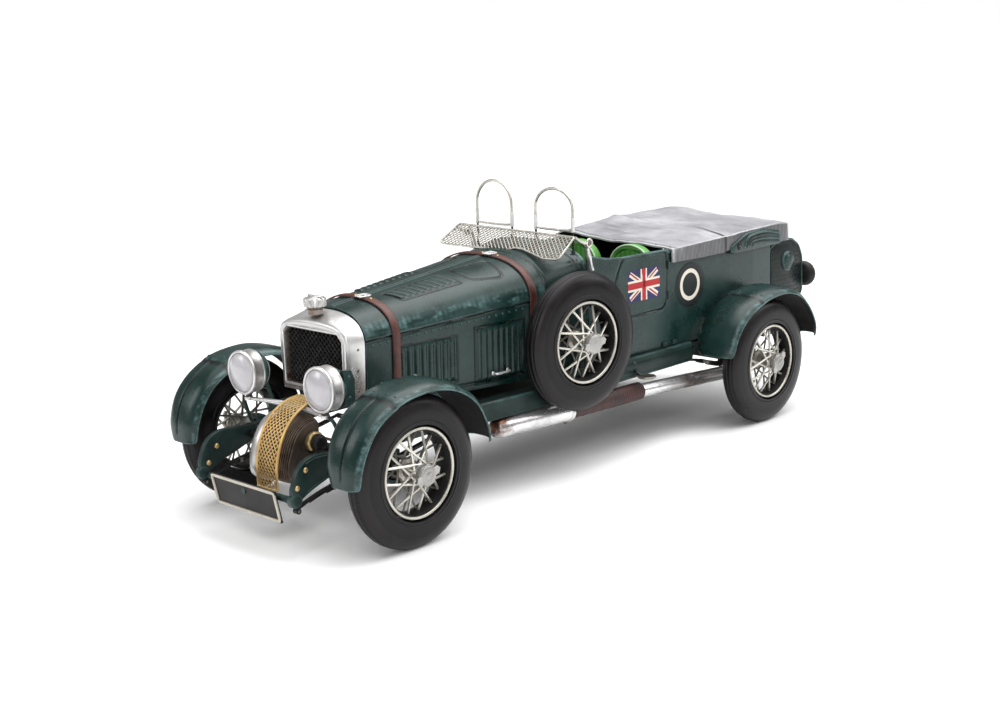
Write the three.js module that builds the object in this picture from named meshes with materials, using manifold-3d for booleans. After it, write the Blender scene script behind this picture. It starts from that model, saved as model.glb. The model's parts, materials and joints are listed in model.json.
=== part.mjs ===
// Collector's model of a supercharged open tourer of about 1930, 1:12 scale, in millimetres.
// +Z is up and the car faces -Y; its left side is +X. The origin lies on the floor under the middle of the car.
import * as THREE from "three";
import { mergeVertices } from "three/addons/utils/BufferGeometryUtils.js";
import Module from "manifold-3d";

// Driving dimensions. Lengths along the car are measured from the middle of the wheelbase,
// and the whole model is then moved by CENTRE_SHIFT so that its bounding box is centred.
const WHEELBASE = 276;
const TRACK = 126;
const TYRE_RADIUS = 35.8;
const TYRE_HALF_WIDTH = 6.3;
const BEAD_RADIUS = 21.7;
const WHEEL_SEGMENTS = 24;
const FRONT_REACH = 187;
const REAR_REACH = 225;
const CENTRE_SHIFT = (FRONT_REACH - REAR_REACH) / 2;
const AXLE_Z = TYRE_RADIUS;
const FRONT_AXLE_Y = -WHEELBASE / 2;
const REAR_AXLE_Y = WHEELBASE / 2;
const WHEEL_X = TRACK / 2;
const GAP = 0.3;

const KINGPIN_X = 52;
const STEERING_ARM = 9;
const RAIL_INNER_X = 33.4;
const RAIL_OUTER_X = 36.4;
const RADIATOR_FRONT_Y = -141;
const RADIATOR_REAR_Y = -129.8;
const BONNET_FRONT_Y = -129.4;
const SCUTTLE_FRONT_Y = -17.2;
const COWL_REAR_Y = 11;
const BODY_REAR_Y = 177;
const PANEL = 1.2;
const LAMP_X = 28.8;
const LAMP_Z = 72.8;
const SPARE_X = 52.5;
const SPARE_Y = -9.7;
const SPARE_Z = 71.6;
const SCREEN_PIVOT_Y = 8;
const SCREEN_PIVOT_Z = 119;
const STEERING_WHEEL = new THREE.Vector3(-19, 33, 97);
const COLUMN_TILT = THREE.MathUtils.degToRad(28);

const wasm = await Module();
wasm.setup();

const car = new THREE.Group();
car.position.y = CENTRE_SHIFT;

const finish = (color, roughness, metalness) =>
  new THREE.MeshStandardMaterial({ color, roughness, metalness });
const green = finish(0x1c3b34, 0.45, 0.1);
const chassisGreen = finish(0x17302b, 0.5, 0.1);
const silver = finish(0xb9b6ad, 0.35, 0.9);
const brightWire = finish(0xc9c5b8, 0.3, 0.9);
const gold = finish(0xa98a4f, 0.4, 0.8);
const rubber = finish(0x24211f, 0.6, 0);
const black = finish(0x151515, 0.7, 0.1);
const leather = finish(0x5a2c22, 0.6, 0);
const seatGreen = finish(0x3f8f3c, 0.6, 0);
const canvas = finish(0x77797a, 0.65, 0.1);
const glass = finish(0xdfe3e2, 0.15, 0);

// --- geometry helpers ---

// Merges a geometry down to bare positions and turns its faces outwards.
function closed(geometry) {
  const bare = geometry.clone();
  bare.deleteAttribute("normal");
  bare.deleteAttribute("uv");
  const merged = mergeVertices(bare, 1e-4);
  const at = merged.attributes.position;
  const index = [...merged.index.array];
  const a = new THREE.Vector3();
  const b = new THREE.Vector3();
  const c = new THREE.Vector3();
  const kept = [];
  let volume = 0;
  for (let i = 0; i < index.length; i += 3) {
    const [p, q, r] = index.slice(i, i + 3);
    if (p === q || q === r || r === p) continue;
    kept.push([p, q, r]);
    a.fromBufferAttribute(at, p);
    b.fromBufferAttribute(at, q);
    c.fromBufferAttribute(at, r);
    volume += a.dot(b.cross(c));
  }
  merged.setIndex(kept.flatMap(([p, q, r]) => (volume < 0 ? [p, r, q] : [p, q, r])));
  return merged;
}

function solidOf(geometry) {
  const g = closed(geometry);
  return new wasm.Manifold(
    new wasm.Mesh({
      numProp: 3,
      vertProperties: new Float32Array(g.attributes.position.array),
      triVerts: new Uint32Array(g.index.array),
    }),
  );
}

function geometryOf(solid) {
  const mesh = solid.getMesh();
  const g = new THREE.BufferGeometry();
  g.setAttribute("position", new THREE.BufferAttribute(new Float32Array(mesh.vertProperties), 3));
  g.setIndex(new THREE.BufferAttribute(new Uint32Array(mesh.triVerts), 1));
  return g;
}

const union = (...geometries) => geometryOf(geometries.map(solidOf).reduce((sum, next) => sum.add(next)));
const cut = (body, ...tools) =>
  geometryOf(tools.map(solidOf).reduce((sum, next) => sum.subtract(next), solidOf(body)));

// A box from one corner to the other.
function block(x0, x1, y0, y1, z0, z1) {
  const g = new THREE.BoxGeometry(x1 - x0, y1 - y0, z1 - z0);
  return g.translate((x0 + x1) / 2, (y0 + y1) / 2, (z0 + z1) / 2);
}

// An outline extruded along X (outline in Y, Z) or along Y (outline in X, Z).
function extrudeX(outline, x0, x1) {
  const shape = new THREE.Shape(outline.map(([y, z]) => new THREE.Vector2(y, z)));
  const g = new THREE.ExtrudeGeometry(shape, { depth: x1 - x0, bevelEnabled: false });
  const basis = new THREE.Matrix4().makeBasis(
    new THREE.Vector3(0, 1, 0),
    new THREE.Vector3(0, 0, 1),
    new THREE.Vector3(1, 0, 0),
  );
  return g.applyMatrix4(basis).translate(x0, 0, 0);
}

function extrudeY(outline, y0, y1) {
  const shape = new THREE.Shape(outline.map(([x, z]) => new THREE.Vector2(x, z)));
  const g = new THREE.ExtrudeGeometry(shape, { depth: y1 - y0, bevelEnabled: false });
  const basis = new THREE.Matrix4().makeBasis(
    new THREE.Vector3(1, 0, 0),
    new THREE.Vector3(0, 0, 1),
    new THREE.Vector3(0, -1, 0),
  );
  return g.applyMatrix4(basis).translate(0, y1, 0);
}

// A profile of [radius, distance] pairs turned about X, Y or Z through a centre.
function turned(profile, axis, centre, segments) {
  const loop = profile.map(([r, t]) => new THREE.Vector2(r, t));
  if (profile[0][0] > 0) loop.push(loop[0].clone());
  const g = new THREE.LatheGeometry(loop, segments, Math.PI / segments);
  if (axis === "x") g.rotateZ(-Math.PI / 2);
  if (axis === "z") g.rotateX(Math.PI / 2);
  return closed(g.translate(...centre));
}

// A straight round bar between two points.
function bar(from, to, radius, sides = 8) {
  const a = new THREE.Vector3(...from);
  const b = new THREE.Vector3(...to);
  const g = new THREE.CylinderGeometry(radius, radius, a.distanceTo(b), sides);
  const along = b.clone().sub(a).normalize();
  g.applyQuaternion(new THREE.Quaternion().setFromUnitVectors(new THREE.Vector3(0, 1, 0), along));
  const middle = a.add(b).multiplyScalar(0.5);
  return g.translate(middle.x, middle.y, middle.z);
}

// A tube of one radius along a smooth curve through the points.
function tube(points, radius, steps, sides = 8, closedCurve = false) {
  const path = new THREE.CatmullRomCurve3(points.map((p) => new THREE.Vector3(...p)), closedCurve);
  const section = new THREE.Shape();
  for (let i = 0; i < sides; i++) {
    const angle = (2 * Math.PI * i) / sides;
    const x = radius * Math.cos(angle);
    const y = radius * Math.sin(angle);
    if (i === 0) section.moveTo(x, y);
    else section.lineTo(x, y);
  }
  return new THREE.ExtrudeGeometry(section, { steps, extrudePath: path, bevelEnabled: false });
}

// A sheet between two grids of points, outer[i][j] and inner[i][j], closed round its edge.
function sheet(outer, inner) {
  const rows = outer.length;
  const columns = outer[0].length;
  const positions = [...outer.flat(), ...inner.flat()].flat();
  const index = [];
  const at = (side, i, j) => side * rows * columns + i * columns + j;
  const quad = (a, b, c, d) => index.push(a, b, c, a, c, d);
  for (let i = 0; i + 1 < rows; i++) {
    for (let j = 0; j + 1 < columns; j++) {
      quad(at(0, i, j), at(0, i + 1, j), at(0, i + 1, j + 1), at(0, i, j + 1));
      quad(at(1, i, j), at(1, i, j + 1), at(1, i + 1, j + 1), at(1, i + 1, j));
    }
    quad(at(0, i, 0), at(1, i, 0), at(1, i + 1, 0), at(0, i + 1, 0));
    quad(at(0, i, columns - 1), at(0, i + 1, columns - 1), at(1, i + 1, columns - 1), at(1, i, columns - 1));
  }
  for (let j = 0; j + 1 < columns; j++) {
    quad(at(0, 0, j), at(0, 0, j + 1), at(1, 0, j + 1), at(1, 0, j));
    quad(at(0, rows - 1, j), at(1, rows - 1, j), at(1, rows - 1, j + 1), at(0, rows - 1, j + 1));
  }
  const g = new THREE.BufferGeometry();
  g.setAttribute("position", new THREE.Float32BufferAttribute(positions, 3));
  g.setIndex(index);
  return closed(g);
}

// A body through convex rings of points, closed at both ends.
function loft(rings) {
  const count = rings[0].length;
  const positions = rings.flat().flat();
  const index = [];
  for (let i = 0; i + 1 < rings.length; i++) {
    for (let j = 0; j < count; j++) {
      const k = (j + 1) % count;
      const a = i * count + j;
      const b = i * count + k;
      index.push(a, b, b + count, a, b + count, a + count);
    }
  }
  const last = (rings.length - 1) * count;
  for (let j = 1; j + 1 < count; j++) {
    index.push(0, j + 1, j);
    index.push(last, last + j, last + j + 1);
  }
  const g = new THREE.BufferGeometry();
  g.setAttribute("position", new THREE.Float32BufferAttribute(positions, 3));
  g.setIndex(index);
  return closed(g);
}

const mirrored = (geometry) => closed(geometry.clone().scale(-1, 1, 1));

function add(name, geometry, material) {
  const mesh = new THREE.Mesh(geometry, material);
  mesh.name = name;
  car.add(mesh);
  return mesh;
}

// Adds a left piece and its mirror image on the right.
function addPair(name, geometry, material) {
  add(name + "_left", geometry, material);
  add(name + "_right", mirrored(geometry), material);
}

const mix = THREE.MathUtils.lerp;

// Straight-line interpolation in a short table of [y, value, value, ...] rows.
function along(table, y) {
  let i = 0;
  while (i + 2 < table.length && y > table[i + 1][0]) i++;
  const [low, high] = [table[i], table[i + 1]];
  const t = (y - low[0]) / (high[0] - low[0]);
  return low.slice(1).map((value, k) => mix(value, high[k + 1], t));
}

// --- bonnet, scuttle and straps share one body section ---

// y, half width at the bottom, bottom z, half width at the shoulder, shoulder z, crown z
const BODY_LINES = [
  [BONNET_FRONT_Y, 24.6, 56, 25.6, 87, 103],
  [SCUTTLE_FRONT_Y, 35.5, 52.4, 36.4, 94, 115],
  [COWL_REAR_Y, 39.6, 52.4, 40.4, 103, 118],
];
const SECTION_POWER = 2.4;
const CROWN_STEPS = 12;

// The section at one station as points from the right bottom edge over the crown to the left bottom edge.
function bodySection(y, outwards) {
  const [bottomWidth, bottomZ, shoulderWidth, shoulderZ, crownZ] = along(BODY_LINES, y);
  const points = [[-bottomWidth - outwards, y, bottomZ]];
  for (let k = 0; k <= CROWN_STEPS; k++) {
    const angle = -Math.PI / 2 + (Math.PI * k) / CROWN_STEPS;
    const across = Math.sign(Math.sin(angle)) * Math.abs(Math.sin(angle)) ** (2 / SECTION_POWER);
    const up = Math.abs(Math.cos(angle)) ** (2 / SECTION_POWER);
    points.push([(shoulderWidth + outwards) * across, y, shoulderZ + (crownZ + outwards - shoulderZ) * up]);
  }
  points.push([bottomWidth + outwards, y, bottomZ]);
  return points;
}

const bodyShell = (stations, outside, inside) =>
  sheet(
    stations.map((y) => bodySection(y, outside)),
    stations.map((y) => bodySection(y, inside)),
  );

add("bonnet", bodyShell([BONNET_FRONT_Y, -75, SCUTTLE_FRONT_Y - GAP], 0, -PANEL), green);
add("bonnet_strap_front", bodyShell([-114.5, -109.5], 1.3, GAP), leather);
add("bonnet_strap_rear", bodyShell([-28.5, -23.5], 1.3, GAP), leather);

const DASH_TOP_GAP = 0.5;
const dash = loft([
  bodySection(COWL_REAR_Y - 3, -DASH_TOP_GAP),
  bodySection(COWL_REAR_Y - 1.5, -DASH_TOP_GAP),
]);
const scuttleShell = bodyShell([SCUTTLE_FRONT_Y, COWL_REAR_Y], 0, -PANEL);
add("scuttle", union(scuttleShell, cut(dash, block(-60, 60, 0, 20, 40, 82))), green);

// --- radiator ---

const RADIATOR_HALF = 25.6;
const radiatorOutline = (inset, bottom) => {
  const points = [[-RADIATOR_HALF + inset + 1.5, bottom]];
  for (let k = 0; k <= CROWN_STEPS; k++) {
    const angle = -Math.PI / 2 + (Math.PI * k) / CROWN_STEPS;
    const across = Math.sign(Math.sin(angle)) * Math.abs(Math.sin(angle)) ** 0.76;
    points.push([(RADIATOR_HALF - inset) * across, 86 + (16 - inset) * Math.cos(angle) ** 0.76]);
  }
  points.push([RADIATOR_HALF - inset - 1.5, bottom]);
  return points;
};
const CORE_INSET = 4.2;
const coreOutline = (spread) => [
  [-RADIATOR_HALF + CORE_INSET - spread, 66 - spread],
  [RADIATOR_HALF - CORE_INSET + spread, 66 - spread],
  [RADIATOR_HALF - CORE_INSET + spread, 86],
  [RADIATOR_HALF - CORE_INSET - 4, 93 + spread],
  [-RADIATOR_HALF + CORE_INSET + 4, 93 + spread],
  [-RADIATOR_HALF + CORE_INSET - spread, 86],
];
add(
  "radiator_shell",
  cut(
    extrudeY(radiatorOutline(0, 61.8), RADIATOR_FRONT_Y, RADIATOR_REAR_Y),
    extrudeY(coreOutline(0), RADIATOR_FRONT_Y - 1, RADIATOR_REAR_Y + 1),
  ),
  silver,
);
add("radiator_core", extrudeY(coreOutline(-GAP), RADIATOR_FRONT_Y + 2.2, RADIATOR_REAR_Y), black);
const capProfile = [[0, 102.3], [3.4, 102.3], [3.4, 104], [5.6, 104.6], [5.6, 108.4], [2.6, 110], [0, 110]];
add("radiator_cap", turned(capProfile, "z", [0, -137.4, 0], 12), silver);

// --- chassis ---

// y, centre z and half height of the side rails, from the dumb-iron tip to the tail
const RAIL_LINE = [
  [-184.6, 29, 4.2],
  [-180.6, 34.6, 7.4],
  [-173, 38.4, 7.6],
  [-162, 40, 5.6],
  [-150, 41.6, 3.9],
  [-120, 44, 4],
  [100, 45, 4],
  [BODY_REAR_Y + 2, 46, 3.2],
];
const railOutline = [
  ...RAIL_LINE.map(([y, z, half]) => [y, z - half]),
  ...[...RAIL_LINE].reverse().map(([y, z, half]) => [y, z + half]),
];
addPair("chassis_rail", extrudeX(railOutline, RAIL_INNER_X, RAIL_OUTER_X), chassisGreen);
add("floor_pan", block(-33, 33, -96, BODY_REAR_Y, 47.2, 48.6), black);

// --- springs and axles ---

const springOutline = (line, half) => [
  ...line.map(([y, z]) => [y, z - half]),
  ...[...line].reverse().map(([y, z]) => [y, z + half]),
];
const FRONT_SPRING = [
  [-182, 22.6], [-171, 26.4], [-156, 29.4], [-138, 31.4], [-128, 31.8], [-112, 34.4], [-98, 37],
];
addPair("front_spring", extrudeX(springOutline(FRONT_SPRING, 1.5), RAIL_INNER_X, RAIL_OUTER_X), black);

const yoke = (z0, z1) => block(47, 54, FRONT_AXLE_Y - 2.4, FRONT_AXLE_Y + 2.4, z0, z1);
const yokeWeb = block(46, 48.6, FRONT_AXLE_Y - 2.4, FRONT_AXLE_Y + 2.4, 28, 44);
const halfAxle = union(
  block(-1, 48, FRONT_AXLE_Y - 2.4, FRONT_AXLE_Y + 2.4, 33.4, 38),
  yokeWeb,
  yoke(28, 30.1),
  yoke(41.9, 44),
);
add("front_axle", union(halfAxle, mirrored(halfAxle)), chassisGreen);

const REAR_SPRING = [[96, 39.4], [115, 35.4], [138, 30.4], [161, 35.4], [178, 40.4]];
const rearSpring = union(
  extrudeX(springOutline(REAR_SPRING, 1.5), RAIL_INNER_X, RAIL_OUTER_X),
  block(RAIL_INNER_X, RAIL_OUTER_X, REAR_AXLE_Y - 4, REAR_AXLE_Y + 4, 30, AXLE_Z),
);
const SPINDLE_RADIUS = 2.2;
const SPINDLE_END_X = 72;
add(
  "rear_axle",
  union(
    bar([-54, REAR_AXLE_Y, AXLE_Z], [54, REAR_AXLE_Y, AXLE_Z], 3.8, 10),
    bar([-SPINDLE_END_X, REAR_AXLE_Y, AXLE_Z], [SPINDLE_END_X, REAR_AXLE_Y, AXLE_Z], SPINDLE_RADIUS, 10),
    turned([[0, -9], [6, -8], [9.5, -3], [9.5, 3], [6, 8], [0, 9]], "x", [0, REAR_AXLE_Y, AXLE_Z], 12),
    rearSpring,
    mirrored(rearSpring),
  ),
  black,
);

// Stub axle: kingpin barrel, spindle and a steering arm that ends under the tie rod.
const ARM_Z = 33.9;
addPair(
  "stub_axle",
  union(
    bar([KINGPIN_X, FRONT_AXLE_Y, 30.5], [KINGPIN_X, FRONT_AXLE_Y, 41.5], 2.4, 10),
    bar([KINGPIN_X, FRONT_AXLE_Y, AXLE_Z], [SPINDLE_END_X, FRONT_AXLE_Y, AXLE_Z], SPINDLE_RADIUS, 10),
    block(KINGPIN_X - 2.4, KINGPIN_X, FRONT_AXLE_Y, FRONT_AXLE_Y + STEERING_ARM + 1.6, ARM_Z, ARM_Z + 1.5),
  ),
  black,
);
const TIE_ROD_Z = ARM_Z + 1.5 + GAP;
add(
  "tie_rod",
  block(
    -KINGPIN_X - 0.4,
    KINGPIN_X + 0.4,
    FRONT_AXLE_Y + STEERING_ARM - 1.1,
    FRONT_AXLE_Y + STEERING_ARM + 1.1,
    TIE_ROD_Z,
    TIE_ROD_Z + 1.8,
  ),
  black,
);

// --- road wheels and the side-mounted spare ---

// The vertices lie outside the true radius, so that each flat of the tyre is at the true radius.
const FLAT = 1 / Math.cos(Math.PI / WHEEL_SEGMENTS);
const R = TYRE_RADIUS;
const tyreProfile = [
  [21.7, -4.8], [25, -6.3], [31, -6.3], [R, -3.2], [R, 3.2], [31, 6.3], [25, 6.3], [21.7, 4.8],
];
const rimRadius = BEAD_RADIUS - GAP;
const wheelProfile = [
  [2.8, -4.5], [5, -4.5], [5, 1], [19.2, -2.2], [19.2, -5], [rimRadius, -5],
  [rimRadius, 5.4], [19.2, 5.4], [19.2, -0.6], [5.2, 5.6], [5.2, 9], [2.8, 9],
];
const nutProfile = [[0, 9.3], [4.6, 9.3], [4.6, 11.2], [3, 12], [0, 12]];
const flats = (profile) => profile.map(([r, t]) => [r * FLAT, t]);
const tyre = turned(flats(tyreProfile), "x", [0, 0, 0], WHEEL_SEGMENTS);
const wireWheel = turned(flats(wheelProfile), "x", [0, 0, 0], WHEEL_SEGMENTS);
const hubNut = turned(nutProfile, "x", [0, 0, 0], 8);

for (const [end, y] of [["front", FRONT_AXLE_Y], ["rear", REAR_AXLE_Y]]) {
  for (const [side, sign] of [["left", 1], ["right", -1]]) {
    const place = (g) => closed(g.clone().scale(sign, 1, 1).translate(sign * WHEEL_X, y, AXLE_Z));
    add(`tyre_${end}_${side}`, place(tyre), rubber);
    add(`wire_wheel_${end}_${side}`, place(wireWheel), brightWire);
    add(`hub_nut_${end}_${side}`, place(hubNut), silver);
  }
}

const spareBracket = bar([-10.6, 0, 0], [9.2, 0, 0], 2.9, 10);
const atSpare = (g) => g.clone().translate(SPARE_X, SPARE_Y, SPARE_Z);
add("spare_tyre", closed(atSpare(tyre)), rubber);
const spareNut = turned([[0, 8.8], [4.6, 8.8], [4.6, 11.2], [3, 12], [0, 12]], "x", [0, 0, 0], 8);
add("spare_wire_wheel", union(atSpare(wireWheel), atSpare(spareBracket), atSpare(spareNut)), brightWire);

// --- fenders ---

// Half widths across a fender and the drop of its surface there, with turned-down edges.
const FENDER_SECTION = [[-1, 3], [-0.94, 0.9], [-0.5, 0], [0.5, 0], [0.94, 0.9], [1, 3]];
const FENDER_SHEET = 1;

// line rows: y, z, inner x, outer x along the crown of the fender, front to rear.
function fender(line) {
  const path = new THREE.CatmullRomCurve3(line.map(([y, z]) => new THREE.Vector3(0, y, z)));
  const tangents = line.map((_, i) => path.getTangent(i / (line.length - 1)));
  const grid = (depth) =>
    line.map(([y, z, inner, outer], i) => {
      const t = tangents[i];
      return FENDER_SECTION.map(([side, drop]) => {
        const inwards = drop + depth;
        const squeeze = 1 - (depth * 0.6) / (outer - inner);
        const x = (inner + outer) / 2 + ((outer - inner) / 2) * side * squeeze * (1 - depth * 0.03);
        return [x, y + t.z * inwards, z - t.y * inwards];
      });
    });
  return sheet(grid(0), grid(FENDER_SHEET));
}

const frontFender = fender([
  [-178.5, 37, 50, 71], [-178, 47, 48.5, 72], [-173.5, 58.5, 47.5, 73], [-165, 68, 47, 73],
  [-152, 74.6, 47, 73.5], [-138, 77, 47, 73.5], [-126, 76.5, 47, 73.5], [-113, 72.5, 47, 73],
  [-102, 64.5, 47, 73], [-95, 54, 47, 72], [-90, 42, 48, 71],
]);
const frontStay = bar([48.4, -140, 75.2], [38.2, -136, 51], 1.2, 6);
const frontStayFoot = block(36.8, 39.4, -139, -133, 44, 52);
addPair("fender_front", union(frontFender, frontStay, frontStayFoot), green);

const rearFender = fender([
  [96, 45, 44, 70], [98.5, 56, 44, 71], [106, 66.5, 44, 72], [118, 74, 44, 73],
  [134, 78, 44.5, 73.5], [150, 78, 45, 73.5], [164, 73.5, 46, 73], [175, 64.5, 48, 72.5],
  [183, 54, 51, 71.5], [187, 44.5, 54, 70],
]);
addPair("fender_rear", rearFender, green);

// --- body sides, sills and tail ---

// y, outer x, bottom z, top z of the body side
const SIDE_LINE = [
  [COWL_REAR_Y + GAP, 40.4, 52.2, 111.5],
  [18, 40.7, 52.1, 110.4],
  [27, 41, 52, 108.4],
  [39, 41.3, 51.8, 107.4],
  [76, 42.1, 51.3, 106.9],
  [78.4, 42.2, 51.2, 105.4],
  [134, 42.6, 50.8, 105.4],
  [158, 42.2, 50.8, 105.4],
  [BODY_REAR_Y, 41, 52, 104],
];
const TUMBLEHOME = 1.6;
const sideGrid = (inset) =>
  SIDE_LINE.map(([y, x, bottom, top]) => [
    [x - inset - TUMBLEHOME, y, bottom],
    [x - inset, y, bottom + 14],
    [x - inset, y, top - 10],
    [x - inset - 0.4, y, top],
  ]);
addPair("body_side", sheet(sideGrid(0), sideGrid(PANEL)), green);

const TANK_TOP = 97;
add("tail_panel", block(-40, 40, BODY_REAR_Y + GAP, BODY_REAR_Y + 1.8, 50.5, 104), green);
add("fuel_tank", extrudeX(
  [
    [BODY_REAR_Y + 3, 58], [BODY_REAR_Y + 36, 58], [217, 62], [217, 84], [213, 92],
    [205, TANK_TOP], [BODY_REAR_Y + 12, TANK_TOP], [BODY_REAR_Y + 3, 93],
  ],
  -38,
  38,
), chassisGreen);
const lampProfile = [[0, 217.3], [5.6, 217.3], [7.4, 219], [7.8, 221], [7, 223.4], [4, 224.7], [0, REAR_REACH]];
add(
  "tail_lamp",
  turned(lampProfile, "y", [36.6, 0, 72.3], 14),
  black,
);

// y, drop: the sill falls slightly towards the rear.
const SILL_ENDS = [[-78, 0], [94, 2]];
const sillGrid = (section) => SILL_ENDS.map(([y, drop]) => section.map(([x, z]) => [x, y, z - drop]));
const sill = sheet(
  sillGrid([[36.8, 51], [44.6, 51], [46, 41.4]]),
  sillGrid([[36.8, 49.6], [43.5, 49.6], [44.8, 41]]),
);
const stepPlate = extrudeX([[0, 0], [9, 0], [9, 1.2], [0, 1.2]], 45, 55.5).translate(0, 42, 41.2);
addPair("sill", union(sill, stepPlate), chassisGreen);

// --- cockpit ---

function seat(centreX) {
  const half = 15.5;
  const arch = [[-half, 62], [-half, 95]];
  for (let k = 1; k < 8; k++) {
    const angle = Math.PI - (Math.PI * k) / 8;
    arch.push([half * Math.cos(angle), 95 + 13.5 * Math.sin(angle)]);
  }
  arch.push([half, 95], [half, 62]);
  const back = extrudeY(arch, 70, 77);
  const cushion = block(-half, half, 44, 72, 54, 67);
  return union(back, cushion).translate(centreX, 0, 0);
}
add("seat_left", seat(20), seatGreen);
add("seat_right", seat(-20), seatGreen);

const wheelTilt = (g) =>
  g.rotateX(COLUMN_TILT).translate(STEERING_WHEEL.x, STEERING_WHEEL.y, STEERING_WHEEL.z);
const steeringRim = turned([[11.4, -0.8], [13, -0.8], [13, 0.8], [11.4, 0.8]], "y", [0, 0, 0], 20);
const steeringHub = turned([[0, -20], [1.4, -20], [1.4, -1.6], [3, -1], [3, 1], [0, 1.4]], "y", [0, 0, 0], 10);
const spokes = [0, 1, 2, 3].map((k) =>
  bar([0, 0, 0], [12 * Math.cos((k * Math.PI) / 2), 0, 12 * Math.sin((k * Math.PI) / 2)], 0.6, 6),
);
add("steering_wheel", wheelTilt(union(steeringRim, steeringHub, ...spokes)), black);

// --- tonneau cover ---

// y, half width, flap bottom z, edge z, crown z
const COVER_LINE = [
  [79, 43.7, 99, 107.2, 108.6],
  [104, 44, 98.4, 107.6, 110.4],
  [127, 44.2, 98.4, 108, 112.4],
  [136, 44.2, 100, 108, 111.8],
  [144, 44.2, 106, 108.6, 111.6],
  [176, 44.4, 106, 109.4, 111.6],
  [184, 44.8, 98, 109.4, 111.2],
  [192, 45, 97.6, 108.6, 110.2],
];
const RIGHT_RISE = 3;
const coverGrid = (inset) =>
  COVER_LINE.map(([y, half, flap, edge, crown]) => {
    const side = (rise) => [
      [half * 0.5, crown - inset],
      [half - 8, edge + 1.2 + rise - inset],
      [half - inset * 0.9, edge + rise - inset],
      [half - inset * 0.9, flap],
    ];
    const left = side(0);
    const right = side(RIGHT_RISE).map(([x, z]) => [-x, z]).reverse();
    return [...right, [0, crown - inset], ...left].map(([x, z]) => [x, y, z]);
  });
add("tonneau_cover", sheet(coverGrid(0), coverGrid(1)), canvas);

// --- exhaust along the left side ---

const EXHAUST_X = 42.2;
const exhaustRun = (rows, radius, steps) => tube(rows.map(([y, z]) => [EXHAUST_X, y, z]), radius, steps, 10);
add(
  "exhaust_pipe",
  union(
    exhaustRun([[-64, 35.6], [-40, 34.6], [-10, 33.3]], 5.6, 2),
    exhaustRun([[-12, 33.3], [20, 32.6], [50, 32.1]], 5, 2),
    exhaustRun([[48, 32], [86, 29.8], [120, 27.8], [138, 26.9], [186, 26.9]], 4, 8),
  ),
  silver,
);

// --- windscreen, its posts and the two aero screens ---

const POST_X = 42.2;
const postTop = [POST_X, SCREEN_PIVOT_Y + 0.4, SCREEN_PIVOT_Z - 0.6];
addPair("windscreen_post", bar([POST_X, 12.2, 104.2], postTop, 1.1, 8), silver);

const SCREEN_TILT = THREE.MathUtils.degToRad(42.8);
const SCREEN_REAR_Y = -1.4;
const SCREEN_REAR_Z = 122.7;
// half of the mesh panel: x and the distance down the panel from its rear rail
const SCREEN_HALF = [[42, -1], [47.4, 9], [43, 13], [36, 15], [25, 14.5], [14, 11], [0, 10]];
const screenOutline = [...SCREEN_HALF, ...SCREEN_HALF.slice(0, -1).reverse().map(([x, s]) => [-x, s])];
const screenPanel = new THREE.ExtrudeGeometry(
  new THREE.Shape(screenOutline.map(([x, s]) => new THREE.Vector2(x, -s))),
  { depth: 1, bevelEnabled: false },
)
  .rotateX(SCREEN_TILT)
  .translate(0, SCREEN_REAR_Y, SCREEN_REAR_Z);
const screenEye = (sign) => {
  const inner = sign * (POST_X + 1.4);
  const outer = sign * (POST_X + 3);
  const pivot = [(inner + outer) / 2, SCREEN_PIVOT_Y, SCREEN_PIVOT_Z];
  return union(
    bar([inner, SCREEN_PIVOT_Y, SCREEN_PIVOT_Z], [outer, SCREEN_PIVOT_Y, SCREEN_PIVOT_Z], 2.2, 10),
    bar(pivot, [sign * 42.4, -4, 120.9], 0.8, 6),
  );
};
add("windscreen_frame", union(screenPanel, screenEye(1), screenEye(-1)), silver);

const HOOP_Y = 5;
const HOOP_HALF = 13;
const HOOP_BAR_Z = 125;
function aeroScreen(centreX, crownZ) {
  const rise = crownZ - 0.8 - 135.6;
  const hoop = [];
  for (let k = 0; k <= 6; k++) {
    const angle = Math.PI - (Math.PI * k) / 6;
    hoop.push([HOOP_HALF * Math.cos(angle), HOOP_Y, 135.6 + rise * Math.sin(angle)]);
  }
  const leg = (x, foot) => bar([x, HOOP_Y, foot], [x, HOOP_Y, 135.8], 0.8, 6);
  return union(
    tube(hoop, 0.8, 12, 6),
    leg(-HOOP_HALF, centreX > 0 ? 118 : 112.4),
    leg(HOOP_HALF, centreX > 0 ? 112.4 : 118),
    bar([-HOOP_HALF, HOOP_Y, HOOP_BAR_Z], [HOOP_HALF, HOOP_Y, HOOP_BAR_Z], 0.7, 6),
  ).translate(centreX, 0, 0);
}
add("aero_screen_left", aeroScreen(23, 147), brightWire);
add("aero_screen_right", aeroScreen(-20.4, 149.4), brightWire);

// --- headlamps and their bar ---

const bowl = [
  [0, 10], [5, 9], [8.6, 5.4], [10.4, 0.6], [10.9, -1.6], [10.9, -4.4], [9.7, -4.8], [9.7, -3.6], [0, -3.6],
];
const lampPost = bar([LAMP_X, -158, 60.9], [LAMP_X, -158, 63.4], 1.6, 8);
const headlamp = union(turned(bowl, "y", [LAMP_X, -157, LAMP_Z], 20), lampPost);
addPair("headlamp", headlamp, silver);
const lensProfile = [[0, -3.9], [9.4, -3.9], [9.2, -4.9], [5.5, -6.5], [0, -7.2]];
const lens = turned(lensProfile, "y", [LAMP_X, -157, LAMP_Z], 20);
addPair("headlamp_lens", lens, glass);

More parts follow.
